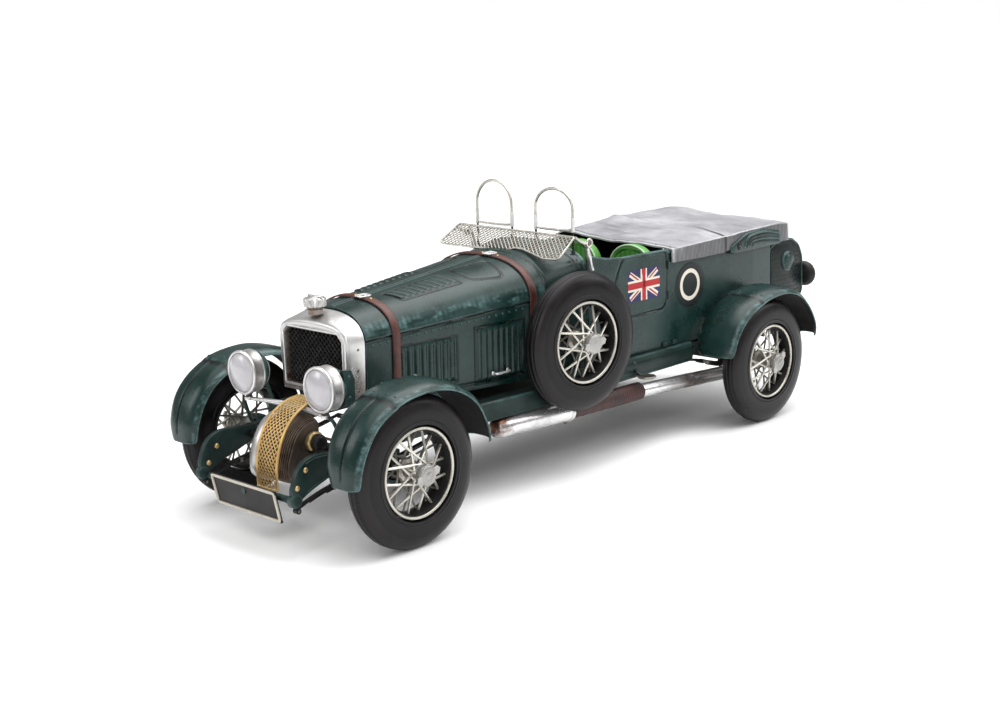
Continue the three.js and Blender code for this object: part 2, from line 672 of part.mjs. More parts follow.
const barHalf = (sign) =>
  union(
    block(Math.min(0, sign * 8), Math.max(0, sign * 8), -153, -149.6, 58.4, 60),
    bar([sign * 6, -151.4, 59.2], [sign * 24, -157.6, 59.6], 0.9, 6),
    bar([sign * 23, -157.4, 59.6], [sign * 33, -157.6, 59.6], 1, 6),
    bar([sign * 33, -157.6, 59.6], [sign * 35, -152.4, 46.8], 1, 6),
  );
add("lamp_bar", union(barHalf(1), barHalf(-1)), silver);

// --- blower between the dumb irons, its stone guard and the number plate ---

const casing = extrudeX(
  [[-147, 22], [-160, 22], [-171.5, 27], [-171.5, 36], [-169, 45], [-163, 53], [-155, 57], [-147, 57]],
  -15,
  1.4,
);
const finOutline = [
  [-147, 24], [-160, 24], [-170, 28], [-170, 36], [-167, 45], [-161, 52], [-154, 55], [-147, 55],
];
const fins = [2.8, 5.2, 7.6, 10, 12.4].map((x) =>
  extrudeX(finOutline, x, x + 1.2),
);
const bossProfile = [[0, 13.4], [4.4, 13.4], [4.4, 15.4], [3.8, 15.8], [3.8, 19.2], [0, 19.8]];
const blowerBoss = turned(bossProfile, "x", [0, -153.5, 44.6], 12);
const blowerSpine = bar([0, -151, 40], [13.5, -151, 40], 9, 12);
const crossTube = bar([-33, -155, 40.4], [33, -155, 40.4], 1.6, 8);
add("blower_casing", union(casing, ...fins, blowerSpine, blowerBoss, crossTube), silver);

// y, z, inner x, outer x of the guard, top to bottom
const GUARD_LINE = [
  [-147.5, 63.4, -4.4, 9.6], [-156, 61.8, -4.4, 10.8], [-165, 56.8, -4.2, 11.8], [-171.4, 48, -4, 12.2],
  [-174.6, 37, -3.8, 12], [-175, 25, -3.6, 11.6],
];
const guardPath = new THREE.CatmullRomCurve3(GUARD_LINE.map(([y, z]) => new THREE.Vector3(0, y, z)));
const guardGrid = (depth) =>
  GUARD_LINE.map(([y, z, left, right], i) => {
    const t = guardPath.getTangent(i / (GUARD_LINE.length - 1));
    return [left, mix(left, right, 0.5), right].map((x) => [x, y - t.z * depth, z + t.y * depth]);
  });
add("blower_guard", sheet(guardGrid(0), guardGrid(0.9)), gold);

const PLATE_HALF = 24.3;
const plateSide = [[-FRONT_REACH, 30.3], [-FRONT_REACH + 1.2, 30.5], [-182.6, 14.8], [-183.8, 14.6]];
const plate = extrudeX(plateSide, -PLATE_HALF, PLATE_HALF);
const plateTube = bar([-33, -180.6, 26], [33, -180.6, 26], 1.6, 8);
const plateLug = block(-3, 3, -185.2, -181, 24.8, 27.2);
add("number_plate", union(plate, plateTube, plateLug), black);

export default car;
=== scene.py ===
import json
import math

import bmesh
import bpy
import numpy as np
from mathutils import Matrix, Vector

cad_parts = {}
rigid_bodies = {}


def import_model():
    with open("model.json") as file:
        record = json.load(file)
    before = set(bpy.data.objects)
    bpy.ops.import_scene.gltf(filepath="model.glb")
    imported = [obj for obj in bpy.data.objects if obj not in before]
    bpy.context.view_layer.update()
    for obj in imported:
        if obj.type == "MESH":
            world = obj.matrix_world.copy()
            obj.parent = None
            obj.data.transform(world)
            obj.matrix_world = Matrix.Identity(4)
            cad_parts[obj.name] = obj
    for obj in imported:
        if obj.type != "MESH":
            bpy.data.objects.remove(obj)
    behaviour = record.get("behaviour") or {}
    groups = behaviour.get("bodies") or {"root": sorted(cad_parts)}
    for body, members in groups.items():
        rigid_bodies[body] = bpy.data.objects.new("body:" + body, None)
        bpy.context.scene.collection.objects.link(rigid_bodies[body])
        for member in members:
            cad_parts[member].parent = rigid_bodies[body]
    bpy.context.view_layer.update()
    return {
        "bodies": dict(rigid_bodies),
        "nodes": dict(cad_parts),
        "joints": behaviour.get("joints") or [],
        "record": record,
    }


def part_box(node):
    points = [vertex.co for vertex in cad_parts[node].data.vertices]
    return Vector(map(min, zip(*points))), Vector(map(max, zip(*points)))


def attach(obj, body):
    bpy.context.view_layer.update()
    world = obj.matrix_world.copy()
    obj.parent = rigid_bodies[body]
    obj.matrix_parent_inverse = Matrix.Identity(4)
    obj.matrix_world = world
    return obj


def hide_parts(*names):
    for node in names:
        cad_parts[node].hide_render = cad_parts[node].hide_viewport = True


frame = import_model()
scene = bpy.context.scene


def box(node):
    low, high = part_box(node)
    return np.array(low) * 1000, np.array(high) * 1000


def centre(node):
    low, high = box(node)
    return (low + high) / 2


ORIGIN = np.array([0, (centre("tyre_front_left")[1] + centre("tyre_rear_left")[1]) / 2, 0])
WHEEL = centre("tyre_rear_left") - ORIGIN
FRONT_Y = (centre("tyre_front_left") - ORIGIN)[1]
REAR_Y = WHEEL[1]
WHEEL_X = WHEEL[0]
AXLE_Z = WHEEL[2]
TYRE_RADIUS = AXLE_Z
SPARE = centre("spare_tyre") - ORIGIN


def world(points):
    return (np.asarray(points, dtype=float) + ORIGIN) / 1000


# --- materials -------------------------------------------------------------------------------------


class Graph:
    """A material's node tree, with short calls for the nodes used here."""

    def __init__(self, name):
        self.material = bpy.data.materials.new(name)
        self.material.use_nodes = True
        self.tree = self.material.node_tree
        self.shader = self.tree.nodes["Principled BSDF"]
        self.position = self.node("ShaderNodeTexCoord").outputs["Object"]

    def node(self, kind, **settings):
        made = self.tree.nodes.new(kind)
        for key, value in settings.items():
            setattr(made, key, value)
        return made

    def link(self, value, socket):
        if isinstance(value, bpy.types.NodeSocket):
            self.tree.links.new(value, socket)
        else:
            socket.default_value = value

    def noise(self, scale, detail=4, roughness=0.55, stretch=None):
        made = self.node("ShaderNodeTexNoise")
        made.inputs["Scale"].default_value = scale
        made.inputs["Detail"].default_value = detail
        made.inputs["Roughness"].default_value = roughness
        source = self.position
        if stretch:
            mapping = self.node("ShaderNodeMapping")
            mapping.inputs["Scale"].default_value = stretch
            self.tree.links.new(source, mapping.inputs["Vector"])
            source = mapping.outputs["Vector"]
        self.tree.links.new(source, made.inputs["Vector"])
        return made.outputs["Fac"]

    def ramp(self, value, low, high, to_low=0.0, to_high=1.0):
        made = self.node("ShaderNodeMapRange", clamp=True)
        self.link(value, made.inputs["Value"])
        made.inputs["From Min"].default_value = low
        made.inputs["From Max"].default_value = high
        made.inputs["To Min"].default_value = to_low
        made.inputs["To Max"].default_value = to_high
        return made.outputs["Result"]

    def math(self, operation, a, b=0.0):
        made = self.node("ShaderNodeMath", operation=operation, use_clamp=True)
        self.link(a, made.inputs[0])
        self.link(b, made.inputs[1])
        return made.outputs[0]

    def mix(self, factor, a, b):
        made = self.node("ShaderNodeMix", data_type="RGBA")
        self.link(factor, made.inputs[0])
        self.link(a, made.inputs[6])
        self.link(b, made.inputs[7])
        return made.outputs[2]

    def attribute(self, name):
        return self.node("ShaderNodeAttribute", attribute_name=name).outputs["Fac"]

    def bump(self, height, strength, distance, after=None):
        made = self.node("ShaderNodeBump")
        made.inputs["Strength"].default_value = strength
        made.inputs["Distance"].default_value = distance
        self.tree.links.new(height, made.inputs["Height"])
        if after:
            self.tree.links.new(after, made.inputs["Normal"])
        return made.outputs["Normal"]


def srgb(red, green, blue):
    return tuple(((c / 255 + 0.055) / 1.055) ** 2.4 if c > 10 else c / 3294 for c in (red, green, blue)) + (1.0,)


def aged(name, base, light, dark, rough, metal=0.0, edge=0.5, shade_and_dirt=0.6, patches=0.5, grain=0.3, coat=0.0):
    """Paint or metal with cloudy tone, rubbed edges, painted shade and a dark wash in the hollows, and a fine uneven
    surface.
    """
    g = Graph(name)
    clouds = g.noise(55, 5, 0.6)
    speckle = g.noise(900, 4, 0.6)
    brush = g.noise(240, 5, 0.65, stretch=(1, 0.35, 1))
    colour = g.mix(g.ramp(clouds, 0.38, 0.68, 0, patches), base, light)
    # Lighter along the per-point band mask: rubbed paint, and a painted sheen on the bonnet shoulders and fender edges.
    wear_and_sheen_mask = g.attribute("wear_and_sheen")
    streaks = g.ramp(brush, 0.45, 0.62)
    colour = g.mix(g.math("MULTIPLY", wear_and_sheen_mask, streaks), colour, light)
    point = g.node("ShaderNodeNewGeometry").outputs["Pointiness"]
    ridge = g.math("MULTIPLY", g.ramp(point, 0.515, 0.57, 0, edge), g.ramp(brush, 0.35, 0.6, 0.35, 1))
    colour = g.mix(ridge, colour, light)
    # Ambient occlusion darkens hollows and gaps between parts: painted shade, with a dark wash.
    hollow = g.node("ShaderNodeAmbientOcclusion", samples=6)
    hollow.inputs["Distance"].default_value = 0.004
    grime_and_shade = g.ramp(hollow.outputs["AO"], 0.35, 0.9, shade_and_dirt, 0)
    colour = g.mix(g.math("MULTIPLY", grime_and_shade, g.ramp(speckle, 0.3, 0.55, 0.7, 1)), colour, dark)
    # Darker along the per-point dark mask: real staining in places, and painted shade in grooves, seams, creases,
    # pleats and under the body's front edge.
    soil_and_shade_mask = g.attribute("soil_and_shade")
    colour = g.mix(g.math("MULTIPLY", soil_and_shade_mask, g.ramp(brush, 0.3, 0.6, 0.4, 1)), colour, dark)
    g.link(colour, g.shader.inputs["Base Color"])
    roughness = g.ramp(clouds, 0.3, 0.7, rough[0], rough[1])
    g.link(g.math("ADD", roughness, g.ramp(grime_and_shade, 0, 1, 0, 0.25)), g.shader.inputs["Roughness"])
    g.shader.inputs["Metallic"].default_value = metal
    g.shader.inputs["Coat Weight"].default_value = coat
    g.shader.inputs["Coat Roughness"].default_value = 0.25
    g.shader.inputs["Specular IOR Level"].default_value = 0.5 if metal > 0.2 else 0.3
    fine = g.bump(speckle, grain, 0.0002)
    g.link(g.bump(brush, grain * 0.8, 0.0003, after=fine), g.shader.inputs["Normal"])
    return g.material


GREEN = aged("green_paint", srgb(14, 39, 35), srgb(92, 122, 122), srgb(2, 5, 5), (0.22, 0.34), 0.05, 0.45, 0.45, 0.12, 0.3, 0.1)
GREEN_DARK = aged("chassis_green", srgb(13, 30, 27), srgb(62, 88, 86), srgb(3, 6, 6), (0.3, 0.44), 0.05, 0.45, 0.8, 0.2, 0.35)
SILVER = aged("aged_silver", srgb(205, 204, 203), srgb(236, 236, 236), srgb(92, 68, 48), (0.26, 0.42), 0.75, 0.4, 0.65, 0.4, 0.25)
NUT_SILVER = aged("nut_silver", srgb(146, 144, 141), srgb(196, 195, 192), srgb(74, 56, 40), (0.34, 0.5), 0.7, 0.4, 0.6, 0.4, 0.25)
WIRE = aged("spoke_wire", srgb(176, 172, 162), srgb(226, 224, 216), srgb(84, 70, 54), (0.22, 0.36), 0.7, 0.3, 0.4, 0.4, 0.15)
STEEL = aged("dull_steel", srgb(84, 80, 76), srgb(150, 146, 138), srgb(26, 22, 18), (0.34, 0.5), 0.7, 0.4, 0.6, 0.4, 0.25)
BLACK = aged("satin_black", srgb(14, 14, 14), srgb(48, 48, 46), srgb(4, 4, 4), (0.36, 0.55), 0.1, 0.4, 0.6, 0.25, 0.3)
GOLD = aged("guard_gold", srgb(206, 164, 98), srgb(236, 208, 148), srgb(84, 54, 28), (0.3, 0.45), 0.45, 0.3, 0.6, 0.4, 0.25)
BRONZE = aged("fin_bronze", srgb(46, 38, 34), srgb(128, 112, 96), srgb(10, 8, 7), (0.36, 0.55), 0.3, 0.5, 0.6, 0.4, 0.3)
BRASS = aged("bolt_brass", srgb(176, 148, 96), srgb(220, 200, 150), srgb(66, 48, 28), (0.28, 0.42), 0.8, 0.4, 0.6, 0.4, 0.2)
SEAT = aged("seat_green", srgb(66, 140, 52), srgb(140, 190, 118), srgb(20, 52, 18), (0.42, 0.55), 0.0, 0.5, 0.8, 0.3, 0.3)
PIPING = aged("seat_piping", srgb(176, 212, 168), srgb(214, 232, 206), srgb(60, 96, 54), (0.4, 0.55), 0.0, 0.3, 0.5, 0.3, 0.2)
CREAM = aged("cream_mark", srgb(214, 208, 194), srgb(232, 228, 218), srgb(110, 98, 82), (0.45, 0.6), 0.0, 0.3, 0.4, 0.3, 0.2)
CORE = aged("core_black", srgb(26, 26, 29), srgb(96, 94, 96), srgb(3, 3, 3), (0.4, 0.55), 0.3, 0.6, 0.9, 0.2, 0.3)


def make_rubber():
    """Dusty tyre rubber: brown-black, greyer in a band on the upper sidewall, with fine pores."""
    g = Graph("tyre_rubber")
    clouds = g.noise(70, 6, 0.62)
    pores = g.noise(1500, 3, 0.6)
    colour = g.mix(g.ramp(clouds, 0.35, 0.7, 0, 0.7), srgb(7, 6, 7), srgb(17, 15, 16))
    colour = g.mix(g.math("MULTIPLY", g.attribute("wear_and_sheen"), g.ramp(clouds, 0.3, 0.6, 0.5, 1)), colour, srgb(40, 36, 38))
    g.link(colour, g.shader.inputs["Base Color"])
    g.link(g.ramp(clouds, 0.3, 0.7, 0.26, 0.38), g.shader.inputs["Roughness"])
    g.shader.inputs["Specular IOR Level"].default_value = 0.22
    g.link(g.bump(pores, 0.25, 0.0002), g.shader.inputs["Normal"])
    return g.material


def make_leather():
    """Red-brown strap leather with grain and a cloudy tone."""
    g = Graph("strap_leather")
    grain = g.node("ShaderNodeTexVoronoi")
    grain.inputs["Scale"].default_value = 1300
    g.tree.links.new(g.position, grain.inputs["Vector"])
    clouds = g.noise(160, 5, 0.6)
    colour = g.mix(g.ramp(clouds, 0.35, 0.65), srgb(58, 26, 20), srgb(96, 48, 38))
    colour = g.mix(g.ramp(grain.outputs["Distance"], 0.3, 0.7, 0, 0.35), colour, srgb(44, 20, 16))
    g.link(colour, g.shader.inputs["Base Color"])
    g.link(g.ramp(clouds, 0.3, 0.7, 0.36, 0.52), g.shader.inputs["Roughness"])
    g.link(g.bump(grain.outputs["Distance"], 0.4, 0.0002), g.shader.inputs["Normal"])
    return g.material


def make_cover():
    """Grey painted sheet with cloudy wash, dark streaks, pale rubbed folds, and painted shade in its creases and on its
    side flaps.
    """
    g = Graph("cover_grey")
    clouds = g.noise(38, 6, 0.62)
    streak = g.noise(120, 6, 0.68, stretch=(0.3, 1.6, 1))
    fine = g.noise(1400, 3, 0.6)
    colour = g.mix(g.ramp(clouds, 0.35, 0.68), srgb(146, 146, 150), srgb(182, 182, 186))
    colour = g.mix(g.ramp(streak, 0.55, 0.75, 0, 0.55), colour, srgb(64, 64, 68))
    # Painted shade in the creases and on the side flaps.
    colour = g.mix(g.attribute("soil_and_shade"), colour, srgb(34, 35, 37))
    colour = g.mix(g.math("MULTIPLY", g.attribute("wear_and_sheen"), g.ramp(streak, 0.35, 0.6)), colour, srgb(206, 206, 210))
    g.link(colour, g.shader.inputs["Base Color"])
    g.link(g.ramp(clouds, 0.3, 0.7, 0.3, 0.46), g.shader.inputs["Roughness"])
    g.shader.inputs["Metallic"].default_value = 0.1
    g.link(g.bump(fine, 0.25, 0.0002, after=g.bump(streak, 0.3, 0.0005)), g.shader.inputs["Normal"])
    return g.material


def make_exhaust():
    """Polished silver pipe, burnt brown towards its front mouth and in patches."""
    g = Graph("exhaust_silver")
    clouds = g.noise(90, 6, 0.65, stretch=(1, 0.5, 1))
    fine = g.noise(1100, 4, 0.6)
    colour = g.mix(g.ramp(clouds, 0.4, 0.6), srgb(222, 221, 222), srgb(186, 184, 184))
    burnt = g.math("MULTIPLY", g.attribute("soil_and_shade"), g.ramp(clouds, 0.36, 0.56))
    colour = g.mix(burnt, colour, srgb(96, 66, 52))
    colour = g.mix(g.ramp(g.noise(260, 5, 0.7), 0.62, 0.76, 0, 0.5), colour, srgb(120, 96, 70))
    g.link(colour, g.shader.inputs["Base Color"])
    g.shader.inputs["Metallic"].default_value = 0.85
    g.link(g.ramp(clouds, 0.3, 0.7, 0.2, 0.4), g.shader.inputs["Roughness"])
    g.link(g.bump(fine, 0.2, 0.0002, after=g.bump(clouds, 0.25, 0.0006)), g.shader.inputs["Normal"])
    return g.material


def make_wrap():
    """Dark red-brown binding round the exhaust, matt and fibrous."""
    g = Graph("exhaust_wrap")
    threads = g.noise(700, 5, 0.7, stretch=(1, 3, 1))
    clouds = g.noise(120, 5, 0.6)
    colour = g.mix(g.ramp(clouds, 0.35, 0.65), srgb(40, 20, 18), srgb(66, 36, 32))
    colour = g.mix(g.ramp(threads, 0.5, 0.7, 0, 0.6), colour, srgb(24, 16, 15))
    g.link(colour, g.shader.inputs["Base Color"])
    g.link(g.ramp(clouds, 0.3, 0.7, 0.5, 0.7), g.shader.inputs["Roughness"])
    g.link(g.bump(threads, 0.5, 0.0003), g.shader.inputs["Normal"])
    return g.material


def make_lens():
    """Milky moulded lens: pale, glossy, with faint upright flutes."""
    g = Graph("lens_glass")
    clouds = g.noise(60, 4, 0.5)
    flutes = g.node("ShaderNodeTexWave", wave_type="BANDS", bands_direction="X")
    flutes.inputs["Scale"].default_value = 190
    g.tree.links.new(g.position, flutes.inputs["Vector"])
    g.link(g.mix(g.ramp(clouds, 0.3, 0.7), srgb(176, 174, 178), srgb(200, 198, 202)), g.shader.inputs["Base Color"])
    g.link(g.ramp(clouds, 0.3, 0.7, 0.1, 0.18), g.shader.inputs["Roughness"])
    g.shader.inputs["Subsurface Weight"].default_value = 0.15
    g.shader.inputs["Subsurface Radius"].default_value = (0.002, 0.002, 0.002)
    g.shader.inputs["Coat Weight"].default_value = 0.6
    g.shader.inputs["Coat Roughness"].default_value = 0.06
    g.link(g.bump(flutes.outputs["Fac"], 0.12, 0.0002), g.shader.inputs["Normal"])
    return g.material


RUBBER = make_rubber()
LEATHER = make_leather()
COVER = make_cover()
EXHAUST = make_exhaust()
WRAP = make_wrap()
LENS = make_lens()

# --- mesh building ---------------------------------------------------------------------------------


class Build:
    """Collects the shells of one piece and turns them into one object."""

    def __init__(self):
        self.verts = []
        self.faces = []
        self.slots = []
        self.wear_and_sheen = []
        self.soil_and_shade = []
        self.materials = []

    def slot(self, material):
        if material not in self.materials:
            self.materials.append(material)
        return self.materials.index(material)

    def add(self, verts, faces, material, wear_and_sheen=None, soil_and_shade=None):
        start = len(self.verts)
        verts = np.asarray(verts, dtype=float).reshape(-1, 3)
        self.verts.extend(verts.tolist())
        self.faces.extend([tuple(start + i for i in face) for face in faces])
        self.slots.extend([self.slot(material)] * len(faces))
        blank = np.zeros(len(verts))
        self.wear_and_sheen.extend((blank if wear_and_sheen is None else np.asarray(wear_and_sheen).ravel()).tolist())
        self.soil_and_shade.extend((blank if soil_and_shade is None else np.asarray(soil_and_shade).ravel()).tolist())

    def grid(self, points, material, wrap_rows=False, wrap_columns=False, cap=False, wear_and_sheen=None, soil_and_shade=None):
        points = np.asarray(points, dtype=float)
        rows, columns = points.shape[:2]
        faces = []
        for i in range(rows if wrap_rows else rows - 1):
            for j in range(columns if wrap_columns else columns - 1):
                a = i * columns + j
                b = i * columns + (j + 1) % columns
                c = ((i + 1) % rows) * columns + (j + 1) % columns
                d = ((i + 1) % rows) * columns + j
                faces.append((a, b, c, d))
        if cap:
            faces.append(tuple(range(columns - 1, -1, -1)))
            faces.append(tuple((rows - 1) * columns + j for j in range(columns)))
        self.add(points.reshape(-1, 3), faces, material, wear_and_sheen, soil_and_shade)

    def sheet(self, outer, inner, material, inner_material=None, wear_and_sheen=None, soil_and_shade=None):
        """A closed sheet between two grids of points that share their layout."""
        outer = np.asarray(outer, dtype=float)
        inner = np.asarray(inner, dtype=float)
        rows, columns = outer.shape[:2]
        self.grid(outer, material, wear_and_sheen=wear_and_sheen, soil_and_shade=soil_and_shade)
        self.grid(inner[:, ::-1], inner_material or material)
        for a, b in (
            (outer[0], inner[0]),
            (inner[-1], outer[-1]),
            (inner[:, 0], outer[:, 0]),
            (outer[:, -1], inner[:, -1]),
        ):
            self.grid(np.stack([b, a]), material)

    def lathe(self, profile, axis, at, material, segments=64, wear_and_sheen=None, soil_and_shade=None):
        profile = np.asarray(profile, dtype=float)
        angle = np.linspace(0, 2 * math.pi, segments, endpoint=False)
        r, t = profile[:, 0][:, None], profile[:, 1][:, None]
        across, up = r * np.cos(angle), r * np.sin(angle)
        along = np.broadcast_to(t, across.shape)
        order = {"x": (along, across, up), "y": (up, along, across), "z": (across, up, along)}[axis]
        points = np.stack(order, axis=-1) + np.asarray(at, dtype=float)
        spread = lambda v: None if v is None else np.repeat(np.asarray(v, dtype=float), segments)
        self.grid(points, material, wrap_columns=True, wear_and_sheen=spread(wear_and_sheen), soil_and_shade=spread(soil_and_shade))

    def tube(self, points, radius, material, sides=8, closed=False, wear_and_sheen=None, soil_and_shade=None):
        points = np.asarray(points, dtype=float)
        count = len(points)
        radii = np.broadcast_to(np.asarray(radius, dtype=float), (count,))
        if closed:
            tangents = np.roll(points, -1, 0) - np.roll(points, 1, 0)
        else:
            tangents = np.gradient(points, axis=0)
        tangents /= np.linalg.norm(tangents, axis=1)[:, None]
        normal = np.cross(tangents[0], [0, 0, 1] if abs(tangents[0][2]) < 0.9 else [0, 1, 0])
        rings = []
        angle = np.linspace(0, 2 * math.pi, sides, endpoint=False)
        for p, t, r in zip(points, tangents, radii):
            normal = normal - t * np.dot(normal, t)
            normal /= np.linalg.norm(normal)
            side = np.cross(t, normal)
            rings.append(p + r * (np.cos(angle)[:, None] * normal + np.sin(angle)[:, None] * side))
        spread = lambda v: None if v is None else np.repeat(np.broadcast_to(np.asarray(v, dtype=float), (count,)), sides)
        self.grid(rings, material, wrap_rows=closed, wrap_columns=True, cap=not closed, wear_and_sheen=spread(wear_and_sheen), soil_and_shade=spread(soil_and_shade))

    def prism(self, outline, plane, start, end, material):
        """An outline extruded along the axis that its plane leaves out."""
        outline = np.asarray(outline, dtype=float)
        count = len(outline)
        rings = []
        for level in (start, end):
            a, b = outline[:, 0], outline[:, 1]
            flat = np.full(count, float(level))
            rings.append(np.stack({"yz": (flat, a, b), "xz": (a, flat, b), "xy": (a, b, flat)}[plane], axis=-1))
        faces = [tuple(range(count - 1, -1, -1)), tuple(range(count, 2 * count))]
        faces += [(j, (j + 1) % count, count + (j + 1) % count, count + j) for j in range(count)]
        self.add(np.concatenate(rings), faces, material)

    def sweep(self, path, section, material, wear_and_sheen=None, soil_and_shade=None):
        """A closed section of x and height offsets carried along a path in an upright lengthwise plane."""
        path = np.asarray(path, dtype=float)
        section = np.asarray(section, dtype=float)
        tangents = np.gradient(path[:, :3], axis=0)
        tangents /= np.linalg.norm(tangents, axis=1)[:, None]
        rings = []
        for i, (p, t) in enumerate(zip(path[:, :3], tangents)):
            shape = section if section.ndim == 2 else section[i]
            rings.append(p + shape[:, :1] * [1, 0, 0] + shape[:, 1:2] * np.array([0, -t[2], t[1]]))
        count = len(rings[0])
        spread = lambda v: None if v is None else np.repeat(np.asarray(v, dtype=float), count)
        self.grid(np.array(rings), material, wrap_columns=True, cap=True, wear_and_sheen=spread(wear_and_sheen), soil_and_shade=spread(soil_and_shade))

    def rivet(self, at, normal, radius, material, height=None, rings=3, sides=10):
        """A domed rivet head standing on a surface."""
        at, normal = np.asarray(at, dtype=float), np.asarray(normal, dtype=float)
        normal = normal / np.linalg.norm(normal)
        first = np.cross(normal, [0, 0, 1] if abs(normal[2]) < 0.9 else [0, 1, 0])
        first /= np.linalg.norm(first)
        second = np.cross(normal, first)
        height = height or radius * 0.7
        angle = np.linspace(0, 2 * math.pi, sides, endpoint=False)
        points = []
        for k in range(rings + 1):
            tilt = math.pi / 2 * k / (rings + 0.35)
            ring = radius * math.cos(tilt) * (np.cos(angle)[:, None] * first + np.sin(angle)[:, None] * second)
            points.append(at + ring + normal * (height * math.sin(tilt)))
        self.grid(np.array(points), material, wrap_columns=True)
        self.faces.append(tuple(len(self.verts) - sides + j for j in range(sides)))
        self.slots.append(self.slot(material))

    def piece(self, name, body="chassis", replaces=(), slot=None, sharp=38, bevel=0.0, at=None):
        mesh = bpy.data.meshes.new(name)
        placed = self.verts if at is None else at(np.asarray(self.verts))
        mesh.from_pydata(world(placed).tolist(), [], self.faces)
        for material in self.materials:
            mesh.materials.append(material)
        mesh.polygons.foreach_set("material_index", self.slots)
        # The first mask lightens the paint for rubbing and painted sheen; the second darkens it for staining and
        # painted shade.
        for label, values in (("wear_and_sheen", self.wear_and_sheen), ("soil_and_shade", self.soil_and_shade)):
            layer = mesh.attributes.new(label, "FLOAT", "POINT")
            layer.data.foreach_set("value", values)
        shell = bmesh.new()
        shell.from_mesh(mesh)
        bmesh.ops.recalc_face_normals(shell, faces=shell.faces)
        shell.to_mesh(mesh)
        shell.free()
        mesh.update()
        mesh.shade_smooth()
        mesh.set_sharp_from_angle(angle=math.radians(sharp))
        obj = bpy.data.objects.new(name, mesh)
        scene.collection.objects.link(obj)
        if bevel:
            rounding = obj.modifiers.new("edges", "BEVEL")
            rounding.width = bevel / 1000
            rounding.segments = 2
            rounding.limit_method = "ANGLE"
            rounding.angle_limit = math.radians(40)
        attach(obj, body)
        if replaces:
            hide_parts(*replaces)
        return obj


def smooth_path(rows, count):
    """Catmull-Rom points through the rows, each of any number of values, evenly along their length."""
    rows = np.asarray(rows, dtype=float)
    padded = np.vstack([2 * rows[0] - rows[1], rows, 2 * rows[-1] - rows[-2]])
    fine = []
    for i in range(len(rows) - 1):
        p0, p1, p2, p3 = padded[i : i + 4]
        for t in np.linspace(0, 1, 24, endpoint=False):
            fine.append(
                0.5 * (2 * p1 + (p2 - p0) * t + (2 * p0 - 5 * p1 + 4 * p2 - p3) * t**2 + (3 * p1 - p0 - 3 * p2 + p3) * t**3)
            )
    fine.append(rows[-1])
    fine = np.array(fine)
    length = np.concatenate([[0], np.cumsum(np.linalg.norm(np.diff(fine[:, :3], axis=0), axis=1))])
    at = np.linspace(0, length[-1], count)
    return np.stack([np.interp(at, length, fine[:, k]) for k in range(fine.shape[1])], axis=-1)


def bell(x, width):
    return np.exp(-((x / width) ** 2))


def step(x, low, high):
    t = np.clip((x - low) / (high - low), 0, 1)
    return t * t * (3 - 2 * t)


def rounded_section(half_width, half_height, radius, steps=4):
    """A rectangle with rounded corners, as x and height offsets."""
    points = []
    for quarter in range(4):
        corner = math.pi / 2 * (quarter + 0.5)
        middle = (
            (half_width - radius) * math.copysign(1, math.cos(corner)),
            (half_height - radius) * math.copysign(1, math.sin(corner)),
        )
        for k in range(steps + 1):
            a = math.pi / 2 * (quarter + k / steps)
            points.append((middle[0] + radius * math.cos(a), middle[1] + radius * math.sin(a)))
    return np.array(points)


# --- wheels ----------------------------------------------------------------------------------------

BEAD = TYRE_RADIUS * 0.6
HALF_TREAD = (box("tyre_front_left")[1] - box("tyre_front_left")[0])[0] / 2


def build_tyre():
    """Section from the inner bead over the tread: rounded walls, a scuff rib and three grooves."""
    build = Build()
    wall = []
    for angle in np.linspace(0, 180, 49):
        a = math.radians(angle)
        bulge = math.sin(a)
        across = -math.cos(a)
        wall.append((across, bulge))
    profile, wear_and_sheen = [], []
    profile.append((BEAD + 0.2, -HALF_TREAD * 0.72))
    wear_and_sheen.append(0)
    for across, bulge in wall:
        x = HALF_TREAD * math.copysign(abs(across) ** 0.8, across)
        r = BEAD + 0.8 + (TYRE_RADIUS - BEAD - 0.8) * bulge**0.62
        for groove in (-2.5, 0.0, 2.5):
            if r > TYRE_RADIUS * 0.93:
                r -= 0.5 * math.exp(-(((x - groove) / 0.3) ** 2))
        profile.append((r, x))
        # A greyer band on the upper sidewall.
        wear_and_sheen.append(0.5 if 0.85 < r / TYRE_RADIUS < 0.97 else 0.1)
    profile.append((BEAD + 0.2, HALF_TREAD * 0.72))
    wear_and_sheen.append(0)
    build.lathe(profile + [profile[0]], "x", (0, 0, 0), RUBBER, 120, wear_and_sheen=wear_and_sheen + [0])
    for side in (-1, 1):
        for radius, height in ((BEAD + 2.4, 0.5), (TYRE_RADIUS * 0.88, 0.3)):
            reach = HALF_TREAD * (0.955 if radius < 25 else 0.8)
            loop = [(radius + 0.7 * math.cos(a), side * (reach + height * math.sin(a) * 1.2)) for a in np.linspace(0, 2 * math.pi, 13)]
            build.lathe(loop, "x", (0, 0, 0), RUBBER, 120)
    return build


HUB_FACE = 9.0
SPOKES = 8


